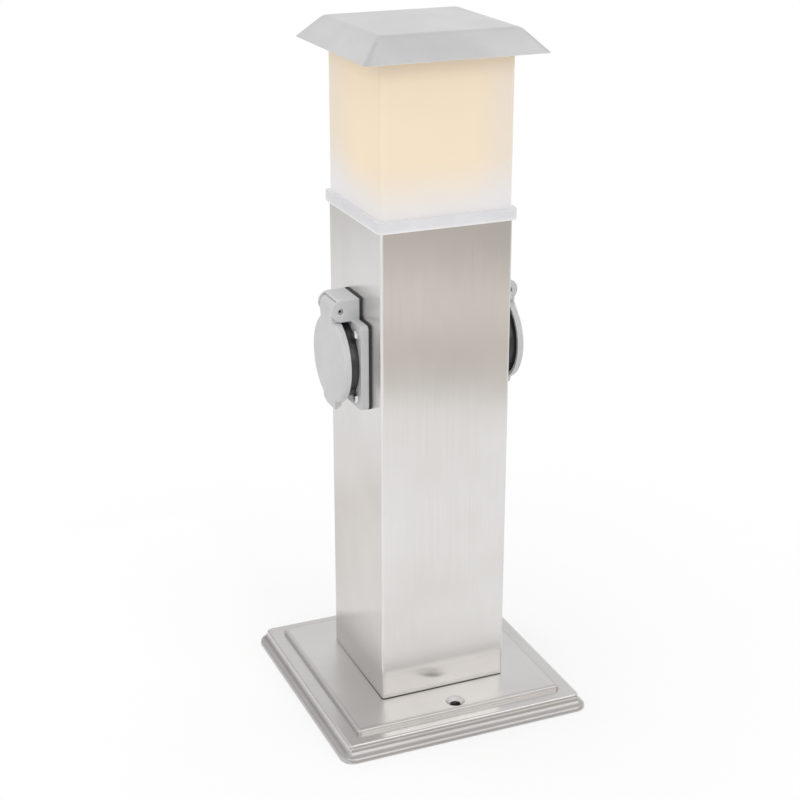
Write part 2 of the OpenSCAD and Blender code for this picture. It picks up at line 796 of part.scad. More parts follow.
// Screw cap of the bulb, with its thread as rounded ridges
module bulb_cap() {
  foot = bulb_z + bulb_tip_h;
  core_r = bulb_cap_r - bulb_ridge;
  color("silver") {
    translate([0, 0, bulb_z]) cylinder(r = bulb_tip_r, h = bulb_tip_h + cut);
    translate([0, 0, foot]) cylinder(r1 = bulb_tip_r + 1, r2 = core_r, h = bulb_ridge_pitch);
    translate([0, 0, foot + bulb_ridge_pitch])
      cylinder(r = core_r, h = bulb_cap_h - bulb_ridge_pitch);
    for (k = [1:bulb_ridges]) translate([0, 0, foot + k * bulb_ridge_pitch])
      rotate_extrude() translate([core_r - bulb_ridge, 0]) circle(2 * bulb_ridge);
  }
}

module bulb_globe() {
  color("lightyellow") translate([0, 0, bulb_cap_top]) difference() {
    globe_form(0);
    translate([0, 0, globe_t]) globe_form(globe_t);
  }
}
module globe_form(depth) {
  cylinder(r1 = globe_neck_r - depth, r2 = globe_shoulder_r - depth, h = globe_shoulder_rise);
  translate([0, 0, globe_rise - depth]) sphere(globe_r - depth);
}

module shade() {
  color("cornsilk") translate([0, 0, shade_bottom]) linear_extrude(shade_top - shade_bottom)
    square_ring(shade_half, shade_r, shade_in, shade_r - shade_wall + slip);
}

module cap_seal() {
  flat_half = cap_top_half - bend_run - slip;
  color("gray") translate([0, 0, shade_top]) linear_extrude(seal_h)
    square_ring(min(shade_half, flat_half), shade_r, shade_in, shade_r - shade_wall + slip);
}

// Profile of the cap as half width, height and corner radius, for a skin that lies the
// given depth inside the metal
skirt_angle = atan2(cap_skirt_h, cap_half - cap_top_half);
bend_run = cap_bend_r * tan(skirt_angle / 2);
function cap_profile(depth) = concat(
  [[cap_half - depth / sin(skirt_angle), cap_edge]],
  [for (i = [0:arc_steps])
    let (a = 90 - skirt_angle * (1 - i / arc_steps))
    [cap_top_half - bend_run + (cap_bend_r - depth) * cos(a),
     cap_top - cap_bend_r + (cap_bend_r - depth) * sin(a)]]
);
function cap_ring(p) = corner_ring(p.x, cap_corner_r, p.y);

module cap() {
  inside = cap_profile(cap_sheet);
  outside = cap_profile(0);
  color("silver") skin([
    for (i = [len(inside) - 1:-1:0]) cap_ring(inside[i]),
    for (p = outside) cap_ring(p)
  ]);
}

// Outline of the flange: a square with the hinge tab above it
module flange_outline(margin) {
  half = flange_half + margin;
  tab = hinge_half + margin;
  top = hinge_rise + ear_r + margin;
  rounded_square(half, flange_r + margin);
  translate([0, -tab]) square([top, 2 * tab]);
}

module gasket(side) {
  color("black") on_side(side) linear_extrude(gasket_t) difference() {
    flange_outline(gasket_margin);
    circle(cutout_r);
    for (x = [-1, 1], y = [-1, 1])
      translate([x, y] * flange_screw_pitch / 2) circle(screw_hole_r);
  }
}

// Cylinder along the hinge's direction, centred on the lid's middle
module hinge_rod(r, half, reach = hinge_reach) {
  translate([hinge_rise, half, reach]) rotate([90, 0, 0]) cylinder(r = r, h = 2 * half);
}

// Box given by its lowest and highest corners
module span(low, high) {
  translate(low) cube(high - low);
}

module flange(side) {
  clear_r = knuckle_r + moving_gap;
  far = ear_end + cut;
  color("lightsteelblue") on_side(side) difference() {
    union() {
      translate([0, 0, flange_back]) linear_extrude(flange_t) flange_outline(0);
      span([hinge_rise - ear_r, -hinge_half, flange_back],
           [hinge_rise + ear_r, hinge_half, ear_end - ear_r]);
      hinge_rod(ear_r, hinge_half, ear_end - ear_r);
    }
    translate([0, 0, flange_back - cut]) cylinder(r = rim_r + 2 * slip, h = flange_t + 2 * cut);
    translate([0, 0, flange_back - cut]) cylinder(r = shoulder_r + slip, h = shoulder_t + cut);
    four(flange_screw_pitch) translate([0, 0, flange_back - cut])
      cylinder(r = screw_hole_r, h = flange_t + 2 * cut);
    hinge_rod(pin_r + pin_gap, hinge_half + cut);
    hinge_rod(clear_r, slot_half);
    span([hinge_rise - ear_r - cut, -slot_half, flange_face], [hinge_rise, slot_half, far]);
    span([hinge_rise - cut, -slot_half, hinge_reach], [hinge_rise + clear_r, slot_half, far]);
    span([hinge_rise, -slot_half, hinge_reach + hood_reach],
         [hinge_rise + ear_r + cut, slot_half, far]);
  }
}

// Black socket insert with the plug's round recess
module insert(side) {
  clip_slot_w = clip_w + 2 * slip;
  clip_slot_r = cup_r + clip_t + 3 * slip;
  color("darkslategray") on_side(side) difference() {
    union() {
      translate([0, 0, insert_back]) cylinder(r = body_r, h = flange_back - insert_back);
      translate([0, 0, flange_back]) cylinder(r = shoulder_r, h = shoulder_t);
      translate([0, 0, flange_back + shoulder_t])
        cylinder(r = rim_r, h = insert_front - flange_back - shoulder_t);
    }
    translate([0, 0, cup_bottom]) cylinder(r = cup_r, h = cup_depth + cut);
    for (y = [-contact_y, contact_y]) translate([0, y, insert_back - cut])
      cylinder(r = contact_hole_r, h = cup_floor + 2 * cut);
    for (s = [0, 1]) mirror([s, 0, 0])
      span([cup_r - clip_t, -clip_slot_w / 2, insert_back - cut],
           [clip_slot_r, clip_slot_w / 2, insert_back + clip_len + slip]);
  }
}

// Two brass contact sleeves, each with a solder tail through the rear cover
module contacts(side) {
  color("goldenrod") on_side(side) for (y = [-contact_y, contact_y]) translate([0, y, 0]) {
    difference() {
      translate([0, 0, insert_back - sleeve_len]) cylinder(r = sleeve_r, h = sleeve_len);
      translate([0, 0, insert_back - sleeve_len + cover_wall])
        cylinder(r = sleeve_bore_r, h = sleeve_len);
    }
    translate([0, 0, cover_back])
      cylinder(r = tail_r, h = insert_back - sleeve_len - cover_back + slip);
  }
}

// Earth clip: two spring fingers flush with the recess wall, joined behind its floor
module earth_clip(side) {
  finger_r = cup_r + slip;
  color("goldenrod") on_side(side) {
    span([-finger_r - clip_t, -clip_w / 2, insert_back - clip_t],
         [finger_r + clip_t, clip_w / 2, insert_back]);
    for (s = [0, 1]) mirror([s, 0, 0])
      span([finger_r, -clip_w / 2, insert_back - clip_t],
           [finger_r + clip_t, clip_w / 2, insert_back + clip_len]);
    translate([clip_tail_x, 0, cover_back])
      cylinder(r = tail_r, h = insert_back - cover_back - clip_t / 2);
  }
}

module rear_cover(side) {
  notch_w = clip_w + 2 * slip;
  color("dimgray") on_side(side) difference() {
    translate([0, 0, cover_back]) cylinder(r = body_r, h = rear_cover_h);
    translate([0, 0, cover_back + cover_wall]) cylinder(r = body_r - cover_wall, h = rear_cover_h);
    span([-body_r - cut, -notch_w / 2, insert_back - clip_t - slip],
         [body_r + cut, notch_w / 2, insert_back + cut]);
    for (p = [[0, -contact_y], [0, contact_y], [clip_tail_x, 0]])
      translate([p.x, p.y, cover_back - cut])
        cylinder(r = tail_r + slip, h = cover_wall + 2 * cut);
  }
}

module flange_screws(side) {
  color("white") on_side(side) four(flange_screw_pitch) translate([0, 0, flange_face])
    pan_screw(screw_head_r, screw_head_h, screw_r,
              flange_face + post_sheet + screw_nut_h + screw_tail);
}

module flange_nuts(side) {
  color("silver") on_side(side) four(flange_screw_pitch)
    translate([0, 0, -post_sheet - screw_nut_h]) difference() {
      cylinder(r = screw_nut_r, h = screw_nut_h, $fn = 6);
      translate([0, 0, -cut]) cylinder(r = screw_r + thread_gap, h = screw_nut_h + 2 * cut);
    }
}

module hinge_pin(side) {
  color("silver") on_side(side) hinge_rod(pin_r, hinge_half - pin_recess);
}

// Torsion spring round the pin, with one leg against the flange and one behind the lid
spring_rings = 8;
spring_sides = 6;
spring_half = spring_turns * spring_pitch / 2;
function spring_point(t) = [
  hinge_rise - spring_r * cos(360 * t),
  -spring_half + spring_pitch * t,
  hinge_reach + spring_r * sin(360 * t)
];
spring_path = concat(
  [for (k = [3:-1:1]) [hinge_rise - spring_r, -spring_half, hinge_reach - k * spring_leg / 3]],
  [for (i = [0:spring_turns * spring_rings]) spring_point(i / spring_rings)],
  [for (k = [1:3])
    [hinge_rise - spring_r, spring_half, hinge_reach + k * spring_tip / 3]]
);
module lid_spring(side) {
  color("silver") on_side(side) tube(spring_path, spring_wire_d / 2, spring_sides);
}

// Side view of the lid's arm and finger tab: height above the socket's centre and
// distance from the post's face
tab_end = -lid_r - lid_tab;
module lid_strip_side() {
  polygon([[arm_foot, lid_inner], [arm_foot, lid_face - lid_crown / 3],
           [hinge_rise, hinge_reach + knuckle_r], [hinge_rise, hinge_reach - pin_r],
           [lid_r, lid_back], [lid_rim_r, lid_back], [lid_rim_r, lid_inner]]);
  polygon([[-arm_foot, lid_inner], [-arm_foot, lid_face - lid_crown / 3],
           [-lid_r, lid_face - lid_crown], [tab_end, lid_face - tab_inset],
           [tab_end, lid_face - tab_inset - tab_t], [-lid_r, lid_back],
           [-lid_rim_r, lid_back], [-lid_rim_r, lid_inner]]);
}

// Front view of the same strip, narrower at the end of the finger tab
module lid_strip_front() {
  half = lid_arm_w / 2;
  polygon([[tab_end, tab_taper - half], [tab_end + tab_taper, -half], [hinge_rise, -half],
           [hinge_rise, half], [tab_end + tab_taper, half], [tab_end, half - tab_taper]]);
}

// Crowned disc of the lid, hollow behind
module lid_disc() {
  difference() {
    rotate_extrude() polygon(concat(
      [[0, lid_back], [lid_r, lid_back]],
      arc([lid_r - lid_edge_r, lid_face - lid_crown - lid_edge_r], lid_edge_r, 0, 80),
      [[lid_r / 2, lid_face - lid_crown / 5], [0, lid_face]]
    ));
    translate([0, 0, lid_back - cut]) cylinder(r = lid_rim_r, h = lid_inner - lid_back + cut);
  }
}

module lid(side) {
  arm_half = lid_arm_w / 2;
  color("lightgray") on_side(side) difference() {
    union() {
      lid_disc();
      intersection() {
        translate([0, arm_half, 0]) rotate([90, 0, 0]) linear_extrude(lid_arm_w) lid_strip_side();
        linear_extrude(hinge_reach + knuckle_d) lid_strip_front();
      }
      hinge_rod(knuckle_r, arm_half);
    }
    hinge_rod(pin_hole_r, arm_half + cut);
    hinge_rod(pocket_r, pocket_half);
    span([hinge_rise - ear_r, -pocket_half, flange_face],
         [hinge_rise + ear_r, pocket_half, hinge_reach]);
  }
}

module lid_seal(side) {
  color("black") on_side(side) difference() {
    translate([0, 0, lid_back]) cylinder(r = seal_out_r, h = lid_inner - lid_back);
    translate([0, 0, lid_back - cut]) cylinder(r = seal_in_r, h = lid_inner - lid_back + 2 * cut);
  }
}

base_plate();
post_tube();
foot_frame();
foot_bolts();
foot_nuts();
cable_grommet();
terminal_block();
terminal_screws();
terminal_fixings();
earth_stud();
earth_nuts();
earth_lug();
wires_live();
wires_neutral();
wires_earth();
top_frame();
collar();
collar_screws();
lamp_bracket();
bracket_screws();
lamp_holder();
lamp_holder_nut();
lamp_shell();
lamp_centre_contact();
bulb_cap();
bulb_globe();
shade();
cap_seal();
cap();
gasket(left);  // gasket_left
flange(left);  // flange_left
insert(left);  // insert_left
contacts(left);  // contacts_left
earth_clip(left);  // earth_clip_left
rear_cover(left);  // rear_cover_left
flange_screws(left);  // flange_screws_left
flange_nuts(left);  // flange_nuts_left
hinge_pin(left);  // hinge_pin_left
lid_spring(left);  // lid_spring_left
lid(left);  // lid_left
lid_seal(left);  // lid_seal_left
gasket(right);  // gasket_right
flange(right);  // flange_right
insert(right);  // insert_right
contacts(right);  // contacts_right
earth_clip(right);  // earth_clip_right
rear_cover(right);  // rear_cover_right
flange_screws(right);  // flange_screws_right
flange_nuts(right);  // flange_nuts_right
hinge_pin(right);  // hinge_pin_right
lid_spring(right);  // lid_spring_right
lid(right);  // lid_right
lid_seal(right);  // lid_seal_right
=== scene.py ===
# Garden socket post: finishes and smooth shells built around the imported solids.
# Metres, +Z up, the front of the post faces -Y and the sockets face -X and +X.
import json
import math

import bmesh
import bpy
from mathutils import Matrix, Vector

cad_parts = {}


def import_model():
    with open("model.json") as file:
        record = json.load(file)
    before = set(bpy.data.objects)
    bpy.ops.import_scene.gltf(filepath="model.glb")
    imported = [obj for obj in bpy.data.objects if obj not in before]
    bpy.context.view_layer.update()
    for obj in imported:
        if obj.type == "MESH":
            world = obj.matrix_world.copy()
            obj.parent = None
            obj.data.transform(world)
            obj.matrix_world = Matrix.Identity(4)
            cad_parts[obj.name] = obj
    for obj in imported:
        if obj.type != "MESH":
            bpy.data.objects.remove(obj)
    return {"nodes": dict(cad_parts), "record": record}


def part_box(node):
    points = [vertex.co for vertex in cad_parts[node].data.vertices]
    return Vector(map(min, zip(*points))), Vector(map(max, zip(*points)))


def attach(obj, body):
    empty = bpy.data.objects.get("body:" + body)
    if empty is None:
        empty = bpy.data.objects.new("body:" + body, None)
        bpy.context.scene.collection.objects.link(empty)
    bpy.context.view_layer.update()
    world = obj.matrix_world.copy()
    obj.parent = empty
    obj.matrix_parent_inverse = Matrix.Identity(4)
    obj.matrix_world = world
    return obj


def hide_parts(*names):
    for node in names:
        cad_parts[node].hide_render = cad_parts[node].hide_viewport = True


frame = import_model()
NODES = frame["nodes"]
SLOT_OF = {part["node"]: part["material_slot"] for part in frame["record"]["subparts"]}
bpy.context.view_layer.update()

# Sizes taken from the frame
MM = 0.001
SIDES = ("left", "right")
BASE_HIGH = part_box("base_plate")[1]
POST_LOW, POST_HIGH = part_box("post_tube")
COLLAR_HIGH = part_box("collar")[1]
SHADE_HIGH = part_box("shade")[1]
CAP_LOW, CAP_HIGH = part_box("cap")
BASE_HALF = BASE_HIGH.x
POST_HALF = POST_HIGH.x
SHADE_HALF = SHADE_HIGH.x
CAP_HALF = CAP_HIGH.x

# Pressed plinth
BASE_SHEET = 1 * MM
LIP_R = 2.9 * MM
LIP_Z = 0.5 * MM
COVE_R = 5.9 * MM
RIDGE_R = 1.3 * MM
STEP_INSET = 13.5 * MM
PANEL_EDGE_R = 1.4 * MM
PANEL_Z = BASE_HIGH.z - 0.9 * MM
PRESS_ANGLE = 28.4
FOOT_CORNER_R = 8 * MM
PANEL_CORNER_R = 2.5 * MM
CORNER_RUN = 3 * MM
CORNER_CURVE = 1.5
TREAD_Z = 9.54 * MM
NECK_Z = 8.2 * MM
ANCHOR_Y = 58 * MM
ANCHOR_R = 3.25 * MM
SINK_R = 5.5 * MM
SINK_BOTTOM = 2.25 * MM
DIMPLE_LIP = 0.7 * MM
DIMPLE_CURVE = ((1.0, 0.0), (0.35, 0.12), (-0.15, 0.45))
BOSS_R = 6.8 * MM
BOSS_DEPTH = 4.2 * MM
INLET_R = 10 * MM
FOOT_BOLT_AT = 25 * MM
FOOT_BOLT_HOLE_R = 2.6 * MM

# Gap under the post's cut edge
FOOT_GAP = 0.5 * MM
BACK_GAP = FOOT_GAP / 5

# Folded cap
CAP_SHEET = 1 * MM
CAP_BEND_R = 6 * MM
CAP_TOP_HALF = SHADE_HALF + 1.75 * MM
CAP_FOLD_LOW_R = 4.5 * MM
CAP_FOLD_TOP_R = 2.2 * MM

# Rounding of sharp edges
SHADE_SOFT = 0.5 * MM
COLLAR_SOFT = 0.6 * MM
CAP_SOFT = 0.3 * MM
CAP_SOFT_STEPS = 2
LID_SOFT = 0.6 * MM
SEAL_SOFT = 0.5 * MM
SOCKET_SOFT = {"gasket": 0.35 * MM, "flange": 0.5 * MM, "insert": 0.4 * MM,
               "flange_screws": 0.12 * MM}

# Fineness of the modelled meshes
ARC_STEPS = 10
CORNER_STEPS = 10
HOLE_STEPS = 48
SOFT_STEPS = 3
ROUND_PROFILE = 0.5
SHARP_ANGLE = math.radians(38)
COPLANAR_ANGLE = math.radians(0.6)
WELD = 0.002 * MM

# Noise: layers of detail, strength of each next layer, and the middle of its range
SINGLE = 1.0
SOFT = 2.0
RICH = 3.0
EVEN = 0.5
HARSH = 0.6
NOISE_MIDDLE = 0.5

# Rays that show the backdrop
BACKDROP_RAYS = ("Is Camera Ray", "Is Glossy Ray", "Is Transmission Ray")


class Value:
    """One socket of a node tree; arithmetic on it adds the Math nodes."""

    def __init__(self, owner, socket):
        self.owner = owner
        self.socket = socket

    def math(self, operation, *others):
        return self.owner.math(operation, self, *others)

    def __add__(self, other):
        return self.math("ADD", other)

    def __radd__(self, other):
        return self.math("ADD", other)

    def __sub__(self, other):
        return self.math("SUBTRACT", other)

    def __rsub__(self, other):
        return self.owner.math("SUBTRACT", other, self)

    def __mul__(self, other):
        return self.math("MULTIPLY", other)

    def __rmul__(self, other):
        return self.math("MULTIPLY", other)

    def __truediv__(self, other):
        return self.math("DIVIDE", other)

    def __pow__(self, other):
        return self.math("POWER", other)

    def __abs__(self):
        return self.math("ABSOLUTE")

    def least(self, other):
        return self.math("MINIMUM", other)

    def most(self, other):
        return self.math("MAXIMUM", other)

    def clamped(self):
        return self.most(0.0).least(1.0)

    def centred(self):
        """A noise that swings about 0."""
        return self - NOISE_MIDDLE

    def ramp(self, low, high):
        """0 below low, 1 above high and a soft rise between."""
        return self.owner.node(
            "ShaderNodeMapRange",
            {"interpolation_type": "SMOOTHSTEP"},
            {"Value": self, "From Min": low, "From Max": high})


class Nodes:
    """A node tree and the one way to add nodes to it."""

    def __init__(self, tree):
        self.tree = tree

    def node(self, kind, settings, sockets, output=0):
        """Add a node: its settings first, then the values or links of its sockets."""
        made = self.tree.nodes.new(kind)
        for key, value in settings.items():
            setattr(made, key, value)
        for key, value in sockets.items():
            self.feed(made.inputs[key], value)
        return Value(self, made.outputs[output])

    def feed(self, socket, value):
        if isinstance(value, Value):
            self.tree.links.new(value.socket, socket)
        else:
            socket.default_value = value

    def math(self, operation, *values):
        return self.node("ShaderNodeMath", {"operation": operation}, dict(enumerate(values)))

    def place(self, kind="Object"):
        """Position in the shared frame, or another kind of coordinate."""
        return self.node("ShaderNodeTexCoord", {}, {}, kind)

    def axes(self, kind="Object"):
        """Position as three values."""
        split = self.node("ShaderNodeSeparateXYZ", {}, {"Vector": self.place(kind)})
        return [Value(self, out) for out in split.socket.node.outputs]

    def seen_ray(self):
        """1 for rays that show the backdrop."""
        path = self.node("ShaderNodeLightPath", {}, {}).socket.node
        camera_ray, glossy, through = (Value(self, path.outputs[name]) for name in BACKDROP_RAYS)
        return camera_ray.most(glossy).most(through)


class Finish(Nodes):
    """A material whose nodes feed one Principled shader."""

    def __init__(self, name):
        self.material = bpy.data.materials.new(name)
        self.material.use_nodes = True
        super().__init__(self.material.node_tree)
        self.shader = self.tree.nodes["Principled BSDF"]

    def stretched(self, per_metre):
        """Position multiplied along each axis, for grain that runs one way."""
        return self.node("ShaderNodeVectorMath", {"operation": "MULTIPLY"},
                         {0: self.place(), 1: per_metre})

    def noise(self, per_metre, layers=SOFT, strength=EVEN):
        """Soft noise with its own count of features per metre along each axis."""
        return self.node("ShaderNodeTexNoise", {},
                         {"Vector": self.stretched(per_metre), "Scale": 1.0,
                          "Detail": layers, "Roughness": strength}, "Fac")

    def mix(self, share, first, second):
        """Colour between two colours."""
        return self.node("ShaderNodeMix", {"data_type": "RGBA"},
                         {0: share, 6: colour(first), 7: colour(second)}, 2)

    def bump(self, height):
        """Normal of a surface with this height in metres."""
        return self.node("ShaderNodeBump", {}, {"Height": height, "Distance": 1.0}, "Normal")

    def glow(self, tint):
        """Shader that gives off a colour."""
        return self.node("ShaderNodeEmission", {}, {"Color": colour(tint)})

    def set(self, **sockets):
        """Feed the shader's sockets, named with underscores for spaces."""
        for key, value in sockets.items():
            self.feed(self.shader.inputs[key.replace("_", " ")], value)
        return self.material

    def show(self, share, first, second):
        """Show the second shader over the first."""
        blend = self.node("ShaderNodeMixShader", {}, {0: share, 1: first, 2: second})
        self.feed(self.tree.nodes["Material Output"].inputs["Surface"], blend)


def colour(rgb):
    return rgb if isinstance(rgb, Value) else (*rgb, 1.0)


def even(per_metre):
    return (per_metre, per_metre, per_metre)


# Brushed sheet: features per metre
BRUSH_FINE = 6500
BRUSH_WIDE = 1500
BRUSH_ALONG = 26
SMEARS_ACROSS = 42
SMEARS_ALONG = 9
CLOUDS = 16
WAVES = 7

# Brushed sheet: depth of the relief
BRUSH_DEPTH = 0.004 * MM
FINE_DEPTH_SHARE = 0.6
WAVE_DEPTH = 0.25 * MM
CLOUD_DEPTH = 0.04 * MM

# Brushed sheet: what each pattern does to the tone and the roughness
LINE_TONES = (0.25, 0.75)
SMEAR_TONE = 0.12
CLOUD_TONE = 0.88
BRIGHT_TONE = 0.5
WIDE_ROUGH = 0.015
CLOUD_ROUGH = 0.06
SHADE_ROUGH = 0.2
BRIGHT_ROUGH = 0.06

# Painted shade: a dark tint mixed into the colour at the plinth's groove, bends and skirt and at the
# post's foot
PAINTED_SHADE = (0.30, 0.285, 0.275)


def run_along(axis, across, along):
    """Feature counts of a pattern that runs along one axis."""
    counts = [across] * 3
    counts[axis] = along
    return tuple(counts)


class Steel(Finish):
    """Brushed stainless sheet: fine lines, soft smears, a slight wave, and a painted highlight and
    painted shade where the given masks call for them.
    """

    def __init__(self, name, axis):
        super().__init__(name)
        self.fine = self.noise(run_along(axis, BRUSH_FINE, BRUSH_ALONG), RICH, HARSH)
        self.wide = self.noise(run_along(axis, BRUSH_WIDE, BRUSH_ALONG / 2))
        self.smears = self.noise(run_along(axis, SMEARS_ACROSS, SMEARS_ALONG), RICH)
        self.clouds = self.noise(even(CLOUDS), RICH)
        self.wave = self.noise(even(WAVES), SINGLE)

    def surface(self, dark, light, rough, grain, bright, painted_shade):
        """Set the shader; bright masks where a highlight is painted into the colour and the sheet is
        smoother, and the last mask where shade is painted in and the sheet is rougher.
        """
        lines = (0.5 * (self.fine + self.wide)).ramp(*LINE_TONES)
        tone = lines * grain + self.smears * SMEAR_TONE + self.clouds * (CLOUD_TONE - grain)
        sheet = self.mix((tone + bright * BRIGHT_TONE).clamped(), dark, light)
        spread = self.wide.centred() * WIDE_ROUGH + self.clouds.centred() * CLOUD_ROUGH
        brush = self.fine * FINE_DEPTH_SHARE + self.wide * (1 - FINE_DEPTH_SHARE)
        relief = brush * BRUSH_DEPTH + self.clouds * CLOUD_DEPTH + self.wave * WAVE_DEPTH
        return self.set(
            Base_Color=self.mix(painted_shade, sheet, PAINTED_SHADE),
            Metallic=1.0,
            Roughness=(rough + spread + painted_shade * SHADE_ROUGH - bright * BRIGHT_ROUGH).clamped(),
            Normal=self.bump(relief))


# Sheet of the post
POST_DARK = (0.63, 0.61, 0.59)
POST_LIGHT = (0.885, 0.87, 0.855)
POST_ROUGH = 0.25
POST_GRAIN = 0.17
POST_STRETCH = 1.0
# The folds get a painted highlight and the foot a band of painted shade
POST_FOLD = (0.97, 0.99)
POST_FOLD_HIGHLIGHT = 0.35
POST_FOOT_HIGH = 4 * MM
POST_FOOT_WANDER = 3 * MM
POST_FOOT_SHADE = 0.25


def post_steel():
    """Sheet of the post, brushed upright, with a faint highlight painted along its folds and shade
    painted at its foot above the plinth.
    """
    steel = Steel("post_steel", 2)
    x, y, z = steel.axes()
    fold = (abs(x).least(abs(y)) / POST_HALF).ramp(*POST_FOLD)
    above = z - PANEL_Z + steel.wide.centred() * POST_FOOT_WANDER
    foot = 1.0 - (above / POST_FOOT_HIGH).ramp(0.0, 1.0)
    steel.set(Anisotropic=POST_STRETCH)
    return steel.surface(POST_DARK, POST_LIGHT, POST_ROUGH, POST_GRAIN, fold * POST_FOLD_HIGHLIGHT,
                         foot * POST_FOOT_SHADE)


# Sheet of the plinth
PLINTH_DARK = (0.56, 0.545, 0.535)
PLINTH_LIGHT = (0.82, 0.805, 0.79)
PLINTH_GRAIN = 0.12
BEND_ROUGH = 0.2
PANEL_ROUGH = 0.14
RIM_ROUGH = 0.08
LIP_ROUGH = 0.12
PANEL_FADE = 2 * MM
RISER_Z = (TREAD_Z + 0.2 * MM, TREAD_Z + 1.0 * MM)
SKIRT_Z = (NECK_Z - 2.6 * MM, NECK_Z - 0.4 * MM)
# Shade painted over the skirt, along the groove, on the rim and bends; the lip keeps less of it
SKIRT_SHADE = 0.45
SKIRT_SMEARS = 0.3
GROOVE_HALF = 0.9 * MM
GROOVE_CORE = 0.2
GROOVE_SHADE = 0.3
LIP_HIGH = 4 * MM
LIP_CORE = 0.3
LIP_UNSHADED = 0.4
RIM_SHADE = 0.25
BEND_SHADE = 0.1


def plinth_steel():
    """Pressed sheet of the plinth: satin panel, shiny bends, and shade painted in thin lines at the
    groove, on the bends and over the skirt, less of it at the lip.
    """
    steel = Steel("plinth_steel", 0)
    x, y, z = steel.axes()
    inset = BASE_HALF - abs(x).most(abs(y))
    panel = inset.ramp(STEP_INSET + PANEL_EDGE_R, STEP_INSET + PANEL_EDGE_R + PANEL_FADE)
    above = z.ramp(*RISER_Z)
    below = 1.0 - z.ramp(*SKIRT_Z)
    groove = (1.0 - (abs(inset - STEP_INSET) / GROOVE_HALF).ramp(GROOVE_CORE, 1.0)) * (1.0 - above)
    lip = 1.0 - (z / LIP_HIGH).ramp(LIP_CORE, 1.0)
    skirt = below * (SKIRT_SHADE + steel.smears * SKIRT_SMEARS) * (1.0 - lip * LIP_UNSHADED)
    bend = 1.0 - panel
    rim = bend * above
    painted_shade = (groove * GROOVE_SHADE).most(skirt).most(rim * RIM_SHADE).most(bend * BEND_SHADE)
    rough = BEND_ROUGH + panel * PANEL_ROUGH + rim * RIM_ROUGH + lip * LIP_ROUGH
    return steel.surface(PLINTH_DARK, PLINTH_LIGHT, rough, PLINTH_GRAIN, 0.0, painted_shade)


# Sheet of the cap
CAP_DARK = (0.64, 0.64, 0.645)
CAP_LIGHT = (0.79, 0.79, 0.79)
CAP_ROUGH = 0.42
CAP_GRIT = 1900
CAP_GRIT_STRENGTH = 0.65
CAP_BLOTCHES = 30
CAP_WAVES = 9
CAP_TONES = (0.2, 0.8)
BLOTCH_SHARE = 0.6
CAP_FOLD_WIDE = 3 * MM
CAP_FOLD_BELOW = (-4 * MM, -2 * MM)
CAP_FOLD_TONE = 0.3
CAP_FOLD_ROUGH = 0.16
GRIT_ROUGH = 0.16
BLOTCH_ROUGH = 0.14
GRIT_DEPTH = 0.012 * MM
CAP_WAVE_DEPTH = 0.3 * MM


def cap_steel():
    """Satin sheet of the cap, blasted matt, with soft blotches and duller folds."""
    finish = Finish("cap_steel")
    x, y, z = finish.axes()
    grit = finish.noise(even(CAP_GRIT), RICH, CAP_GRIT_STRENGTH)
    blotches = finish.noise(even(CAP_BLOTCHES), RICH)
    wave = finish.noise(even(CAP_WAVES), SINGLE)
    ridge = 1.0 - (abs(abs(x) - abs(y)) / CAP_FOLD_WIDE).ramp(0.0, 1.0)
    skirt = 1.0 - (z - CAP_HIGH.z).ramp(*CAP_FOLD_BELOW)
    fold = ridge * skirt
    tone = (blotches * BLOTCH_SHARE + grit * (1 - BLOTCH_SHARE)).ramp(*CAP_TONES)
    spread = grit.centred() * GRIT_ROUGH + blotches.centred() * BLOTCH_ROUGH
    return finish.set(
        Base_Color=finish.mix(tone - fold * CAP_FOLD_TONE, CAP_DARK, CAP_LIGHT),
        Metallic=1.0,
        Roughness=(CAP_ROUGH + fold * CAP_FOLD_ROUGH + spread).clamped(),
        Normal=finish.bump(grit * GRIT_DEPTH + wave * CAP_WAVE_DEPTH))


# Moulded plastics: dark and light colour, roughness, pits per metre and their depth
PLASTICS = {
    "grey_plastic": ((0.56, 0.56, 0.57), (0.63, 0.63, 0.64), 0.42, 2600, 0.02 * MM),
    "black_plastic": ((0.026, 0.026, 0.029), (0.052, 0.052, 0.057), 0.27, 2200, 0.02 * MM),
    "rubber": ((0.018, 0.018, 0.019), (0.042, 0.042, 0.044), 0.62, 1500, 0.04 * MM),
    "nylon": ((0.72, 0.72, 0.68), (0.82, 0.82, 0.78), 0.45, 1800, 0.02 * MM),
    "holder_plastic": ((0.70, 0.66, 0.56), (0.80, 0.76, 0.66), 0.22, 900, 0.01 * MM),
}
PLASTIC_CLOUDS = 45
PLASTIC_TONES = (0.25, 0.75)
PIT_SHARE = 0.3
PIT_ROUGH = 0.12
PLASTIC_CLOUD_ROUGH = 0.08


def grained_plastic(name, dark, light, rough, grain, depth):
    """Finish of a moulding with a fine spark-eroded grain and slight clouding."""
    finish = Finish(name)
    pits = finish.noise(even(grain), SOFT, HARSH)
    clouds = finish.noise(even(PLASTIC_CLOUDS), RICH)
    tone = (clouds * (1 - PIT_SHARE) + pits * PIT_SHARE).ramp(*PLASTIC_TONES)
    spread = pits.centred() * PIT_ROUGH + clouds.centred() * PLASTIC_CLOUD_ROUGH
    finish.set(
        Base_Color=finish.mix(tone, dark, light),
        Roughness=(rough + spread).clamped(),
        Normal=finish.bump(pits * depth))
    return finish


# White plastic of the collar, in the order of the other plastics, and its glow
COLLAR_LOOK = ((0.61, 0.61, 0.63), (0.67, 0.67, 0.69), 0.33, 2600, 0.01 * MM)
COLLAR_GLOW = (0.085, 0.08, 0.085)
COLLAR_FOOT_GLOW = (0.19, 0.18, 0.165)
COLLAR_FOOT_HIGH = 2.2 * MM


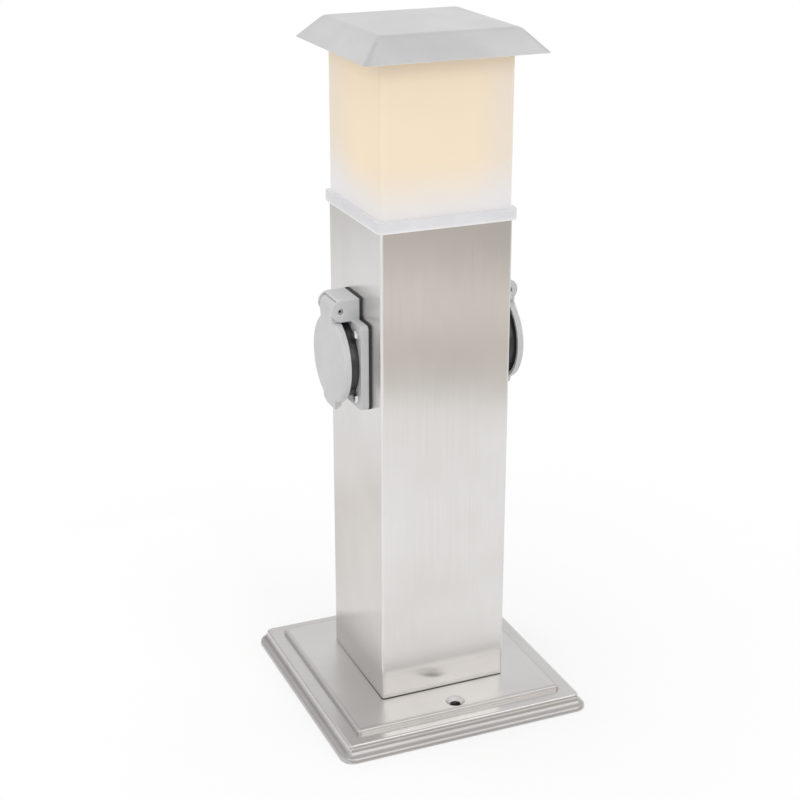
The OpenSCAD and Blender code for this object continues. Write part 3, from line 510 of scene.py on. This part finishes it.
def collar_plastic():
    """White moulding that passes a little of the lamp's light, most at its thin foot."""
    finish = grained_plastic("collar_plastic", *COLLAR_LOOK)
    x, y, z = finish.axes()
    foot = 1.0 - ((z - POST_HIGH.z) / COLLAR_FOOT_HIGH).ramp(0.0, 1.0)
    return finish.set(
        Emission_Color=finish.mix(foot, COLLAR_GLOW, COLLAR_FOOT_GLOW),
        Emission_Strength=1.0)


# Small metal fittings: dark and light colour, roughness
METALS = {
    "zinc_sheet": ((0.46, 0.47, 0.49), (0.62, 0.63, 0.65), 0.42),
    "fastener_steel": ((0.50, 0.50, 0.50), (0.66, 0.66, 0.65), 0.34),
    "bright_steel": ((0.66, 0.66, 0.66), (0.82, 0.82, 0.82), 0.18),
    "brass": ((0.62, 0.42, 0.16), (0.80, 0.60, 0.28), 0.28),
    "bulb_metal": ((0.62, 0.62, 0.62), (0.76, 0.76, 0.76), 0.26),
}
SCUFFS = 1800
SCUFF_SHARE = 0.3
SCUFF_ROUGH = 0.10
SCUFF_DEPTH = 0.01 * MM
METAL_CLOUDS = 160
METAL_TONES = (0.2, 0.8)
METAL_CLOUD_ROUGH = 0.16


def bare_metal(name, dark, light, rough):
    """Plated or drawn metal of small fittings, with faint scuffs."""
    finish = Finish(name)
    scuffs = finish.noise(even(SCUFFS), RICH, HARSH)
    clouds = finish.noise(even(METAL_CLOUDS))
    tone = (scuffs * SCUFF_SHARE + clouds * (1 - SCUFF_SHARE)).ramp(*METAL_TONES)
    spread = clouds.centred() * METAL_CLOUD_ROUGH + scuffs.centred() * SCUFF_ROUGH
    return finish.set(
        Base_Color=finish.mix(tone, dark, light),
        Metallic=1.0,
        Roughness=(rough + spread).clamped(),
        Normal=finish.bump(scuffs * SCUFF_DEPTH))


# Wires: main colour, colour of the stripe and its share of the sleeve
WIRES = {
    "brown_wire": ((0.20, 0.085, 0.035), (0.24, 0.11, 0.05), 0.3),
    "blue_wire": ((0.05, 0.15, 0.45), (0.07, 0.18, 0.50), 0.3),
    "earth_wire": ((0.10, 0.36, 0.05), (0.80, 0.66, 0.06), 0.4),
}
WIND_ACROSS = 700
WIND_UP = 110
WIND_FADE = 0.1
FLECKS = 900
FLECK_SHARE = 0.4
FLECK_SHADE = 0.6
FLECK_ROUGH = 0.2
WIRE_ROUGH = 0.42


def wire_sleeve(name, main, stripe, share):
    """Insulated wire whose stripe winds up the sleeve."""
    finish = Finish(name)
    x, y, z = finish.axes()
    wind = ((x + y) * WIND_ACROSS + z * WIND_UP).math("SINE")
    start = 1 - 2 * share
    band = wind.ramp(start, start + WIND_FADE)
    flecks = finish.noise(even(FLECKS))
    shaded = tuple(part * FLECK_SHADE for part in main)
    base = finish.mix(flecks * FLECK_SHARE, main, shaded)
    return finish.set(
        Base_Color=finish.mix(band, base, stripe),
        Roughness=(WIRE_ROUGH + flecks.centred() * FLECK_ROUGH).clamped())


# Opal plastic of the shade
OPAL_DARK = (0.45, 0.435, 0.42)
OPAL_LIGHT = (0.49, 0.48, 0.465)
OPAL_ROUGH = 0.34
OPAL_CLOUDS = 22
OPAL_GRAIN = 1400
OPAL_GRAIN_ROUGH = 0.1
OPAL_GRAIN_DEPTH = 0.01 * MM

# Its glow: colours, and where each one shows
GLOW_WARM = (0.43, 0.30, 0.135)
GLOW_PALE = (0.355, 0.275, 0.175)
GLOW_CORNER = (0.47, 0.335, 0.165)
GLOW_COOL = (0.33, 0.325, 0.345)
# Dimmer glow high up: the cap's shade painted in
GLOW_CAP_SHADE = (0.30, 0.20, 0.09)
PALE_SPAN = (0.1, 0.95)
PALE_DRIFT = 0.2
PALE_FLANK = 0.25
CORNER_SPAN = (0.93, 0.985)
COOL_SPAN = (-0.05, 0.34)
COOL_EDGE = 0.05
COOL_DRIFT = 0.06
CAP_SHADE_SPAN = (0.74, 0.88)


def opal():
    """Opal plastic with the lamp's light painted on as a glow: warm over the faces, dimmer under the
    cap as painted shade, paler towards two corners and brighter at the other two, cool at the foot.
    """
    finish = Finish("opal")
    x, y, z = finish.axes()
    turn = x * y / (SHADE_HALF * SHADE_HALF)
    height = (z - COLLAR_HIGH.z) / (SHADE_HIGH.z - COLLAR_HIGH.z)
    clouds = finish.noise(even(OPAL_CLOUDS))
    flank = (abs(x) - abs(y)) / SHADE_HALF
    edge = (clouds.centred() * PALE_DRIFT - turn + flank * PALE_FLANK).ramp(*PALE_SPAN)
    corner = turn.ramp(*CORNER_SPAN)
    foot = (height - edge * COOL_EDGE + clouds.centred() * COOL_DRIFT).ramp(*COOL_SPAN)
    face = finish.mix(edge, GLOW_WARM, GLOW_PALE)
    warm = finish.mix(height.ramp(*CAP_SHADE_SPAN), finish.mix(corner, face, GLOW_CORNER), GLOW_CAP_SHADE)
    grain = finish.noise(even(OPAL_GRAIN))
    return finish.set(
        Base_Color=finish.mix(clouds, OPAL_DARK, OPAL_LIGHT),
        Roughness=(OPAL_ROUGH + grain.centred() * OPAL_GRAIN_ROUGH).clamped(),
        Emission_Color=finish.mix(foot, GLOW_COOL, warm),
        Emission_Strength=1.0,
        Normal=finish.bump(grain * OPAL_GRAIN_DEPTH))


# Glass of the bulb
BULB_DARK = (0.80, 0.77, 0.70)
BULB_LIGHT = (0.86, 0.84, 0.78)
BULB_WARM = (0.95, 0.72, 0.42)
BULB_PALE = (1.0, 0.80, 0.52)
BULB_GLOW = 1.2
BULB_CLOUDS = 60
BULB_ROUGH = 0.16
BULB_CLOUD_ROUGH = 0.1


def bulb_glass():
    """Opal glass of the bulb, glowing warm."""
    finish = Finish("bulb_glass")
    clouds = finish.noise(even(BULB_CLOUDS))
    return finish.set(
        Base_Color=finish.mix(clouds, BULB_DARK, BULB_LIGHT),
        Roughness=(BULB_ROUGH + clouds * BULB_CLOUD_ROUGH).clamped(),
        Emission_Color=finish.mix(clouds, BULB_WARM, BULB_PALE),
        Emission_Strength=BULB_GLOW)


# The finish of each material slot
FINISHES = {"stainless": post_steel(), "cap_steel": cap_steel(), "collar_plastic": collar_plastic(),
            "opal": opal(), "bulb_glass": bulb_glass()}
FINISHES.update({slot: grained_plastic(slot, *look).material for slot, look in PLASTICS.items()})
FINISHES.update({slot: bare_metal(slot, *look) for slot, look in METALS.items()})
FINISHES.update({slot: wire_sleeve(slot, *look) for slot, look in WIRES.items()})


# Mesh helpers

def arc(centre, radius, start, stop, steps=ARC_STEPS):
    """Points of an arc in a profile, angles in degrees."""
    angles = [math.radians(start + (stop - start) * i / steps) for i in range(steps + 1)]
    return [(centre[0] + radius * math.cos(a), centre[1] + radius * math.sin(a)) for a in angles]


def full_circle(centre, radius):
    """Points of a whole circle in a profile."""
    return arc(centre, radius, 0, 360, HOLE_STEPS)[:-1]


def corner_ring(half, radius, z):
    """Square with round corners at one height."""
    points = []
    for quarter in range(4):
        middle = math.radians(90 * quarter + 45)
        cx = math.copysign(half - radius, math.cos(middle))
        cy = math.copysign(half - radius, math.sin(middle))
        points += [(x, y, z) for x, y in arc((cx, cy), radius, 90 * quarter, 90 * quarter + 90,
                                             CORNER_STEPS)]
    return points


def circle_ring(x, y, radius, z):
    """Circle at one height."""
    return [(px, py, z) for px, py in full_circle((x, y), radius)]


def add_ring(bm, points):
    return [bm.verts.new(p) for p in points]


def bridge(bm, rings):
    """Quads from each ring to the next one of equal length."""
    for first, second in zip(rings, rings[1:]):
        count = len(first)
        for i in range(count):
            j = (i + 1) % count
            bm.faces.new((first[i], first[j], second[j], second[i]))


def fill(bm, loops):
    """Flat faces inside the first loop and outside the others."""
    edges = []
    for loop in loops:
        edges += [bm.edges.get(pair) or bm.edges.new(pair) for pair in zip(loop, loop[1:] + loop[:1])]
    bmesh.ops.triangle_fill(bm, use_beauty=True, edges=edges)


def new_piece(name, bm, finish, slot, body, *nodes):
    """Turn a mesh into a piece that rides on a body and stands for CAD nodes."""
    bmesh.ops.recalc_face_normals(bm, faces=bm.faces)
    mesh = bpy.data.meshes.new(name)
    bm.to_mesh(mesh)
    bm.free()
    mesh.materials.append(finish)
    mesh.shade_smooth()
    mesh.set_sharp_from_angle(angle=SHARP_ANGLE)
    piece = bpy.data.objects.new(name, mesh)
    bpy.context.scene.collection.objects.link(piece)
    normals = piece.modifiers.new("even_normals", "WEIGHTED_NORMAL")
    normals.keep_sharp = True
    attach(piece, body)
    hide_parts(*nodes)


def copy_of(node):
    """Mesh of a CAD node with its seams welded and its flat faces whole."""
    bm = bmesh.new()
    bm.from_mesh(NODES[node].data)
    bmesh.ops.remove_doubles(bm, verts=bm.verts, dist=WELD)
    bmesh.ops.dissolve_limit(bm, angle_limit=COPLANAR_ANGLE, verts=bm.verts, edges=bm.edges)
    return bm


def softened(bm, radius, steps=SOFT_STEPS):
    """Round every sharp edge."""
    sharp = [e for e in bm.edges if e.is_manifold and e.calc_face_angle() > SHARP_ANGLE]
    bmesh.ops.bevel(bm, geom=sharp, offset=radius, offset_type="OFFSET", segments=steps,
                    profile=ROUND_PROFILE, affect="EDGES", clamp_overlap=True)
    return bm


def joined(*parts):
    """One mesh of several, in an order that repeats."""
    whole = bmesh.new()
    for part in parts:
        mesh = bpy.data.meshes.new("part")
        part.to_mesh(mesh)
        part.free()
        whole.from_mesh(mesh)
        bpy.data.meshes.remove(mesh)
    return whole


# Plinth

def plinth_profile(depth):
    """Inset from the edge and height of the pressed sheet, for a skin inside the metal."""
    slope = math.radians(PRESS_ANGLE)
    foot = (LIP_R * (1 - math.sin(slope)), LIP_Z + LIP_R * math.cos(slope))
    cove = (foot[0] - COVE_R * math.sin(slope), foot[1] + COVE_R * math.cos(slope))
    ridge = (cove[0] + COVE_R + RIDGE_R, cove[1])
    ridge_top = ridge[1] + RIDGE_R
    edge = (STEP_INSET + PANEL_EDGE_R, PANEL_Z - PANEL_EDGE_R)
    return ([(depth, 0.0)]
            + arc((LIP_R, LIP_Z), LIP_R - depth, 180, 90 + PRESS_ANGLE)
            + arc(cove, COVE_R + depth, PRESS_ANGLE - 90, 0)
            + arc(ridge, RIDGE_R - depth, 180, 90)
            + [(STEP_INSET + depth, ridge_top - depth)]
            + arc(edge, PANEL_EDGE_R - depth, 180, 90))


def plinth_ring(point):
    inset, height = point
    share = max(0.0, 1 - inset / CORNER_RUN) ** CORNER_CURVE
    radius = PANEL_CORNER_R + (FOOT_CORNER_R - PANEL_CORNER_R) * share
    return corner_ring(BASE_HALF - inset, radius, height)


def anchor_hole(bm, y):
    """Countersunk dimple of one anchor hole; gives its rims on the top and underside."""
    profile = [(SINK_R + DIMPLE_LIP * out, PANEL_Z - DIMPLE_LIP * down) for out, down in DIMPLE_CURVE]
    profile += [
        (ANCHOR_R, PANEL_Z - SINK_BOTTOM),
        (ANCHOR_R, PANEL_Z - BOSS_DEPTH),
        (BOSS_R, PANEL_Z - BOSS_DEPTH),
        (BOSS_R, PANEL_Z - BASE_SHEET)]
    rings = [add_ring(bm, circle_ring(0.0, y, radius, z)) for radius, z in profile]
    bridge(bm, rings)
    return rings[0], rings[-1]


def through_hole(bm, x, y, radius):
    top = add_ring(bm, circle_ring(x, y, radius, PANEL_Z))
    under = add_ring(bm, circle_ring(x, y, radius, PANEL_Z - BASE_SHEET))
    bridge(bm, [top, under])
    return top, under


def plinth():
    bm = bmesh.new()
    inside = [plinth_ring(p) for p in reversed(plinth_profile(BASE_SHEET))]
    outside = [plinth_ring(p) for p in plinth_profile(0.0)]
    rings = [add_ring(bm, points) for points in inside + outside]
    bridge(bm, rings)
    holes = [anchor_hole(bm, y) for y in (-ANCHOR_Y, ANCHOR_Y)]
    holes.append(through_hole(bm, 0.0, 0.0, INLET_R))
    holes += [through_hole(bm, x, y, FOOT_BOLT_HOLE_R)
              for x in (-FOOT_BOLT_AT, FOOT_BOLT_AT) for y in (-FOOT_BOLT_AT, FOOT_BOLT_AT)]
    fill(bm, [rings[-1]] + [top for top, under in holes])
    fill(bm, [rings[0]] + [under for top, under in holes])
    new_piece("plinth", bm, plinth_steel(), "stainless", "post", "base_plate")


# Post, shade and collar

def post_sleeve():
    """Post with its cut foot just clear of the plinth, so that a dark joint line shows."""
    bm = copy_of("post_tube")
    for v in bm.verts:
        if v.co.z < POST_LOW.z + FOOT_GAP:
            v.co.z = PANEL_Z + (FOOT_GAP if v.co.y < 0 else BACK_GAP)
    new_piece("post_sleeve", bm, FINISHES["stainless"], "stainless", "post", "post_tube")


def shade_shell():
    bm = softened(copy_of("shade"), SHADE_SOFT)
    new_piece("shade_shell", bm, FINISHES["opal"], "opal", "post", "shade")


def collar_ring():
    bm = softened(copy_of("collar"), COLLAR_SOFT)
    new_piece("collar_ring", bm, FINISHES["collar_plastic"], "collar_plastic", "post", "collar")


# Cap

def cap_profile(depth):
    """Half width and height of the cap's sheet, for a skin inside the metal."""
    slope = math.atan2(CAP_HIGH.z - CAP_LOW.z, CAP_HALF - CAP_TOP_HALF)
    run = CAP_BEND_R * math.tan(slope / 2)
    bend = (CAP_TOP_HALF - run, CAP_HIGH.z - CAP_BEND_R)
    edge = (CAP_HALF - depth / math.sin(slope), CAP_LOW.z)
    return [edge] + arc(bend, CAP_BEND_R - depth, 90 - math.degrees(slope), 90)


def cap_ring(point):
    half, height = point
    share = (height - CAP_LOW.z) / (CAP_HIGH.z - CAP_LOW.z)
    radius = CAP_FOLD_LOW_R + (CAP_FOLD_TOP_R - CAP_FOLD_LOW_R) * share
    return corner_ring(half, radius, height)


def sheet_cap():
    bm = bmesh.new()
    points = list(reversed(cap_profile(CAP_SHEET))) + cap_profile(0.0)
    rings = [add_ring(bm, cap_ring(p)) for p in points]
    bridge(bm, rings)
    fill(bm, [rings[0]])
    fill(bm, [rings[-1]])
    softened(bm, CAP_SOFT, CAP_SOFT_STEPS)
    new_piece("sheet_cap", bm, FINISHES["cap_steel"], "cap_steel", "post", "cap")


# Sockets

SOCKET_Z = 221 * MM
LID_SKIN = 0.04 * MM
LID_R = 26 * MM + LID_SKIN
LID_FACE = POST_HALF + 17 * MM + LID_SKIN
LID_CROWN = 0.6 * MM
LID_EDGE_R = 1.6 * MM
LID_RIM = LID_FACE - LID_CROWN - LID_EDGE_R - 0.2 * MM
ARM_HALF = 9.2 * MM + LID_SKIN
ARM_FOOT = (14.3 * MM, LID_FACE - 0.2 * MM)
ARM_TOP = (31.2 * MM, POST_HALF + 18.1 * MM)
ARM_BLEND = 0.4 * MM
ARM_SHOULDER = (8.4 * MM, 17 * MM)
ARM_END_DEPTH = 1.0 * MM
ARM_END_INSET = 0.25
SKIN_INSETS = [share * LID_EDGE_R for share in (0.0, 0.1, 0.28, 0.5, 0.75, 1.0)]
SKIN_SHARES = (0.86, 0.68, 0.48, 0.28, 0.1)
SKIN_STEP = 2


def skin_radius(angle, inset):
    """Distance from the middle of the lid to its outline, some way in."""
    across, up = abs(math.sin(angle)), math.cos(angle)
    reach = LID_R - inset
    if up > 0:
        flank = (ARM_HALF - inset) / max(across, WELD)
        reach = max(reach, min(flank, (ARM_TOP[0] - inset * ARM_END_INSET) / up))
    return reach


def skin_level(y, rise):
    """How far the front of the lid stands out at one place."""
    away = math.hypot(y, rise)
    inside = max(LID_R - away, ARM_HALF - abs(y) if rise > 0 else 0.0, 0.0)
    edge = LID_EDGE_R - min(inside, LID_EDGE_R)
    disc = LID_FACE - LID_CROWN * (away / LID_R) ** 2
    slope = (ARM_TOP[1] - ARM_FOOT[1]) / (ARM_TOP[0] - ARM_FOOT[0])
    step = ARM_FOOT[1] + slope * (rise - ARM_FOOT[0]) - disc
    lift = (step + math.hypot(step, ARM_BLEND)) / 2
    aside = (abs(y) - ARM_SHOULDER[0]) / (ARM_SHOULDER[1] - ARM_SHOULDER[0])
    aside = min(1.0, max(0.0, aside))
    shoulder = 1 - aside * aside * (3 - 2 * aside)
    return disc + lift * shoulder - LID_EDGE_R + math.sqrt(LID_EDGE_R ** 2 - edge ** 2)


def lid_skin(side):
    """One smooth front over the lid's disc and arm, with no step between the two."""
    bm = bmesh.new()
    way = -1 if side == "left" else 1
    corners = [math.atan2(ARM_HALF, ARM_TOP[0]), math.asin(ARM_HALF / LID_R)]
    angles = [math.radians(degrees) for degrees in range(-180, 180, SKIN_STEP)]
    angles = sorted(angles + corners + [-angle for angle in corners])
    outline = [skin_radius(angle, SKIN_INSETS[-1]) for angle in angles]
    plans = [[skin_radius(angle, inset) for angle in angles] for inset in SKIN_INSETS]
    plans += [[radius * share for radius in outline] for share in SKIN_SHARES]
    spots = [[(r * math.sin(a), r * math.cos(a)) for r, a in zip(plan, angles)] for plan in plans]
    foot = [(y, rise, skin_level(y, rise) - ARM_END_DEPTH if rise > LID_R else LID_RIM)
            for y, rise in spots[0]]
    levels = [foot] + [[(y, rise, skin_level(y, rise)) for y, rise in plan] for plan in spots]
    rings = [add_ring(bm, [(way * level, y, SOCKET_Z + rise) for y, rise, level in ring])
             for ring in levels]
    bridge(bm, rings)
    bm.faces.new(rings[-1])
    return bm


def socket_pieces(side):
    """Soft-edged copies of one socket's visible solids."""
    for part, radius in SOCKET_SOFT.items():
        node = f"{part}_{side}"
        slot = SLOT_OF[node]
        new_piece(f"{part}_shell_{side}", softened(copy_of(node), radius), FINISHES[slot], slot,
                  "post", node)
    lid = f"lid_{side}"
    new_piece(f"lid_shell_{side}", joined(softened(copy_of(lid), LID_SOFT), lid_skin(side)),
              FINISHES["grey_plastic"], "grey_plastic", lid, lid)
    seal = f"lid_seal_{side}"
    new_piece(f"seal_ring_{side}", softened(copy_of(seal), SEAL_SOFT), FINISHES["rubber"], "rubber",
              lid, seal)


# Rolled hinge pin
PIN_BORE_R = 0.85 * MM
PIN_CHAMFER = 0.3 * MM


def hinge_roll_pin(side):
    """Hollow rolled pin along Y in the place of the hinge pin."""
    node = f"hinge_pin_{side}"
    low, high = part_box(node)
    middle = (low + high) / 2
    radius = (high.z - low.z) / 2
    profile = [(PIN_BORE_R, low.y), (radius - PIN_CHAMFER, low.y), (radius, low.y + PIN_CHAMFER),
               (radius, high.y - PIN_CHAMFER), (radius - PIN_CHAMFER, high.y), (PIN_BORE_R, high.y)]
    bm = bmesh.new()
    rings = [add_ring(bm, [(px, y, pz) for px, pz in full_circle((middle.x, middle.z), reach)])
             for reach, y in profile]
    bridge(bm, rings + rings[:1])
    new_piece(f"roll_pin_{side}", bm, FINISHES["fastener_steel"], "bright_steel", "post", node)


def finish_cad_nodes():
    """Give every CAD node the finish of its slot."""
    for name, node in NODES.items():
        node.data.materials.clear()
        node.data.materials.append(FINISHES[SLOT_OF[name]])


# Floor and backdrop
WHITE = (1.0, 1.0, 1.0)
FLOOR_TINT = (0.9, 0.9, 0.9)
FLOOR_ROUGH = 0.9
FLOOR_SIZE = 12.0
FLOOR_DROP = 0.2 * MM
FLOOR_NEAR = 0.12
FLOOR_FAR = 0.5
FLOOR_LIFT = 0.55
FLOOR_CLEAR = (BASE_HALF - 4 * MM, BASE_HALF - 1 * MM)
WORLD_LIGHT = 0.62
SKY_RISE = (0.2, 0.55)
SKY_TOP = 0.81


def stage_sheet(name, corners, finish):
    """One flat face that belongs to the stage."""
    bm = bmesh.new()
    bm.faces.new([bm.verts.new(corner) for corner in corners])
    mesh = bpy.data.meshes.new(name)
    bm.to_mesh(mesh)
    bm.free()
    mesh.materials.append(finish.material)
    sheet = bpy.data.objects.new(name, mesh)
    bpy.context.scene.collection.objects.link(sheet)
    return sheet


def flat_corners(span_x, span_y, z):
    """Corners of a level rectangle."""
    (left, right), (near, far) = span_x, span_y
    return [(left, near, z), (right, near, z), (right, far, z), (left, far, z)]


def upright_corners(start, stop, span_z):
    """Corners of a rectangle that stands on the line between two points."""
    foot, top = span_z
    return [(*start, foot), (*stop, foot), (*stop, top), (*start, top)]


def floor():
    """Pale floor that keeps the soft shadow near the object and fades to the white backdrop."""
    finish = Finish("floor")
    x, y, z = finish.axes()
    far = ((x * x + y * y) ** 0.5).ramp(FLOOR_NEAR, FLOOR_FAR)
    clear = abs(x).most(abs(y)).ramp(*FLOOR_CLEAR)
    lift = FLOOR_LIFT + far * (1.0 - FLOOR_LIFT)
    finish.set(Base_Color=colour(FLOOR_TINT), Roughness=FLOOR_ROUGH)
    plain = Value(finish, finish.shader.outputs[0])
    finish.show(finish.seen_ray() * clear * lift, plain, finish.glow(WHITE))
    span = (-FLOOR_SIZE / 2, FLOOR_SIZE / 2)
    stage_sheet("floor", flat_corners(span, span, -FLOOR_DROP), finish)


def world():
    """White around the object and a little greyer overhead; an even level for diffuse light."""
    made = bpy.data.worlds.new("studio")
    bpy.context.scene.world = made
    made.use_nodes = True
    studio = Nodes(made.node_tree)
    x, y, z = studio.axes("Generated")
    low, high = SKY_RISE
    sky = studio.node("ShaderNodeMapRange", {}, {"Value": z, "From Min": low, "From Max": high,
                                                 "To Min": 1.0, "To Max": SKY_TOP})
    level = studio.node("ShaderNodeMapRange", {}, {"Value": studio.seen_ray(),
                                                   "To Min": WORLD_LIGHT, "To Max": sky})
    back = studio.tree.nodes["Background"]
    studio.feed(back.inputs["Color"], colour(WHITE))
    studio.feed(back.inputs["Strength"], level)


# Cards that the steel reflects: an upright one in front on the right
CARD_LIFT = 0.3 * MM
CARD_AT = (0.2, -0.487)
CARD_HALF = 0.4
CARD_TOP = 0.23
CARD_FADE = (0.0, 0.015)
CARD_BAND = (0.095, 0.05)
CARD_DARK = (0.63, 0.585, 0.54)
CARD_LIGHT = (0.84, 0.79, 0.735)
CARD_RISE = (0.115, 0.165)
CARD_UPPER = (0.52, 0.48, 0.44)

# Three flat ones on the floor: a dark line at the plinth's front, the plinth's shadow on the floor
# painted in, one on the left and one far off
STRIP_X = (-0.11, 0.11)
STRIP_Y = (-0.096, -0.079)
STRIP_CORE = 0.2
STRIP_SHADOW_TINT = (0.22, 0.21, 0.205)
LEFT_X = (-0.36, -0.06)
LEFT_Y = (-0.04, 0.285)
LEFT_TINT = (0.87, 0.83, 0.80)
FAR_X = (-0.9, -0.2)
FAR_Y = (0.74, 1.6)
FAR_FULL = 1.07
FAR_TINT = (0.62, 0.61, 0.60)

# An upright one at the back on the left
BACK_X = (-1.6, -0.75)
BACK_Y = 1.6
BACK_TOP = 0.68
BACK_TINT = (0.45, 0.44, 0.435)


def mirrored_card(name, corners, look):
    """Card that only the steel reflects; look gives its tint and where it shows."""
    finish = Finish(name)
    tint, shown = look(finish)
    finish.show(shown, finish.node("ShaderNodeBsdfTransparent", {}, {}), finish.glow(tint))
    card = stage_sheet(name, corners, finish)
    card.visible_camera = False
    card.visible_diffuse = False
    card.visible_shadow = False
    card.visible_transmission = False


def front_look(finish):
    """Warm grey with a lighter band."""
    x, y, z = finish.axes()
    band = 1.0 - (abs(z - CARD_BAND[0]) / CARD_BAND[1]).ramp(0.0, 1.0)
    tint = finish.mix(z.ramp(*CARD_RISE), finish.mix(band, CARD_DARK, CARD_LIGHT), CARD_UPPER)
    return tint, z.ramp(*CARD_FADE)


def strip_look(finish):
    """Painted shadow along the plinth's front: a dark line that fades at both sides."""
    x, y, z = finish.axes()
    near, far = STRIP_Y
    middle, half = (near + far) / 2, (far - near) / 2
    return STRIP_SHADOW_TINT, 1.0 - (abs(y - middle) / half).ramp(STRIP_CORE, 1.0)


def fading_look(tint, near, full):
    """Plain tint that fades out towards the object."""
    def look(finish):
        x, y, z = finish.axes()
        return tint, y.ramp(near, full)
    return look


def back_look(finish):
    """Plain tint all over."""
    return BACK_TINT, 1.0


def cards():
    """Two upright cards, front right and back left, and three flat ones on the floor."""
    middle = Vector(CARD_AT)
    along = Vector((-middle.y, middle.x)).normalized() * CARD_HALF
    mirrored_card("front_card", upright_corners(middle - along, middle + along, (0.0, CARD_TOP)),
                  front_look)
    mirrored_card("strip_card", flat_corners(STRIP_X, STRIP_Y, CARD_LIFT), strip_look)
    mirrored_card("left_card", flat_corners(LEFT_X, LEFT_Y, CARD_LIFT),
                  fading_look(LEFT_TINT, *LEFT_Y))
    mirrored_card("far_card", flat_corners(FAR_X, FAR_Y, CARD_LIFT),
                  fading_look(FAR_TINT, FAR_Y[0], FAR_FULL))
    left, right = BACK_X
    mirrored_card("back_card", upright_corners((left, BACK_Y), (right, BACK_Y), (CARD_LIFT, BACK_TOP)),
                  back_look)


# Soft lamps: place, width and height, power and tint; those that the steel doesn't mirror
LIGHT_AIM = (0.0, 0.0, 0.2)
SOFTBOXES = {
    "key_left": ((-1.7, -1.9, 1.9), (2.2, 2.2), 8.3, (1.0, 0.99, 0.975)),
    "front_right": ((0.9, -2.1, 1.45), (1.6, 1.6), 10.0, (1.0, 0.995, 0.985)),
    "top": ((-0.3, 0.2, 2.6), (3.2, 3.2), 40.0, WHITE),
}
UNMIRRORED = ("top",)


def softbox(name, at, size, power, tint):
    light = bpy.data.lights.new(name, "AREA")
    light.shape = "RECTANGLE"
    light.size, light.size_y = size
    light.energy = power
    light.color = tint
    lamp = bpy.data.objects.new(name, light)
    lamp.location = at
    lamp.rotation_euler = (Vector(LIGHT_AIM) - Vector(at)).to_track_quat("-Z", "Y").to_euler()
    lamp.visible_glossy = name not in UNMIRRORED
    bpy.context.scene.collection.objects.link(lamp)


def lights():
    for name, look in SOFTBOXES.items():
        softbox(name, *look)


# Camera at the photograph's viewing angle, in metres, degrees and millimetres
CAMERA_AT = (-0.3699, -0.8497, 0.5502)
CAMERA_YAW = 22.85
CAMERA_PITCH = 21.42
CAMERA_LENS = 75.17
CAMERA_SENSOR = 36.0


def camera():
    data = bpy.data.cameras.new("camera")
    data.lens = CAMERA_LENS
    data.sensor_width = CAMERA_SENSOR
    eye = bpy.data.objects.new("camera", data)
    yaw, pitch = math.radians(CAMERA_YAW), math.radians(CAMERA_PITCH)
    level = math.cos(pitch)
    ahead = Vector((math.sin(yaw) * level, math.cos(yaw) * level, -math.sin(pitch)))
    eye.location = CAMERA_AT
    eye.rotation_euler = ahead.to_track_quat("-Z", "Y").to_euler()
    bpy.context.scene.collection.objects.link(eye)
    bpy.context.scene.camera = eye


camera()
finish_cad_nodes()
plinth()
post_sleeve()
collar_ring()
shade_shell()
sheet_cap()
for side in SIDES:
    socket_pieces(side)
    hinge_roll_pin(side)
world()
lights()
floor()
cards()
bpy.context.scene.view_settings.view_transform = "Standard"
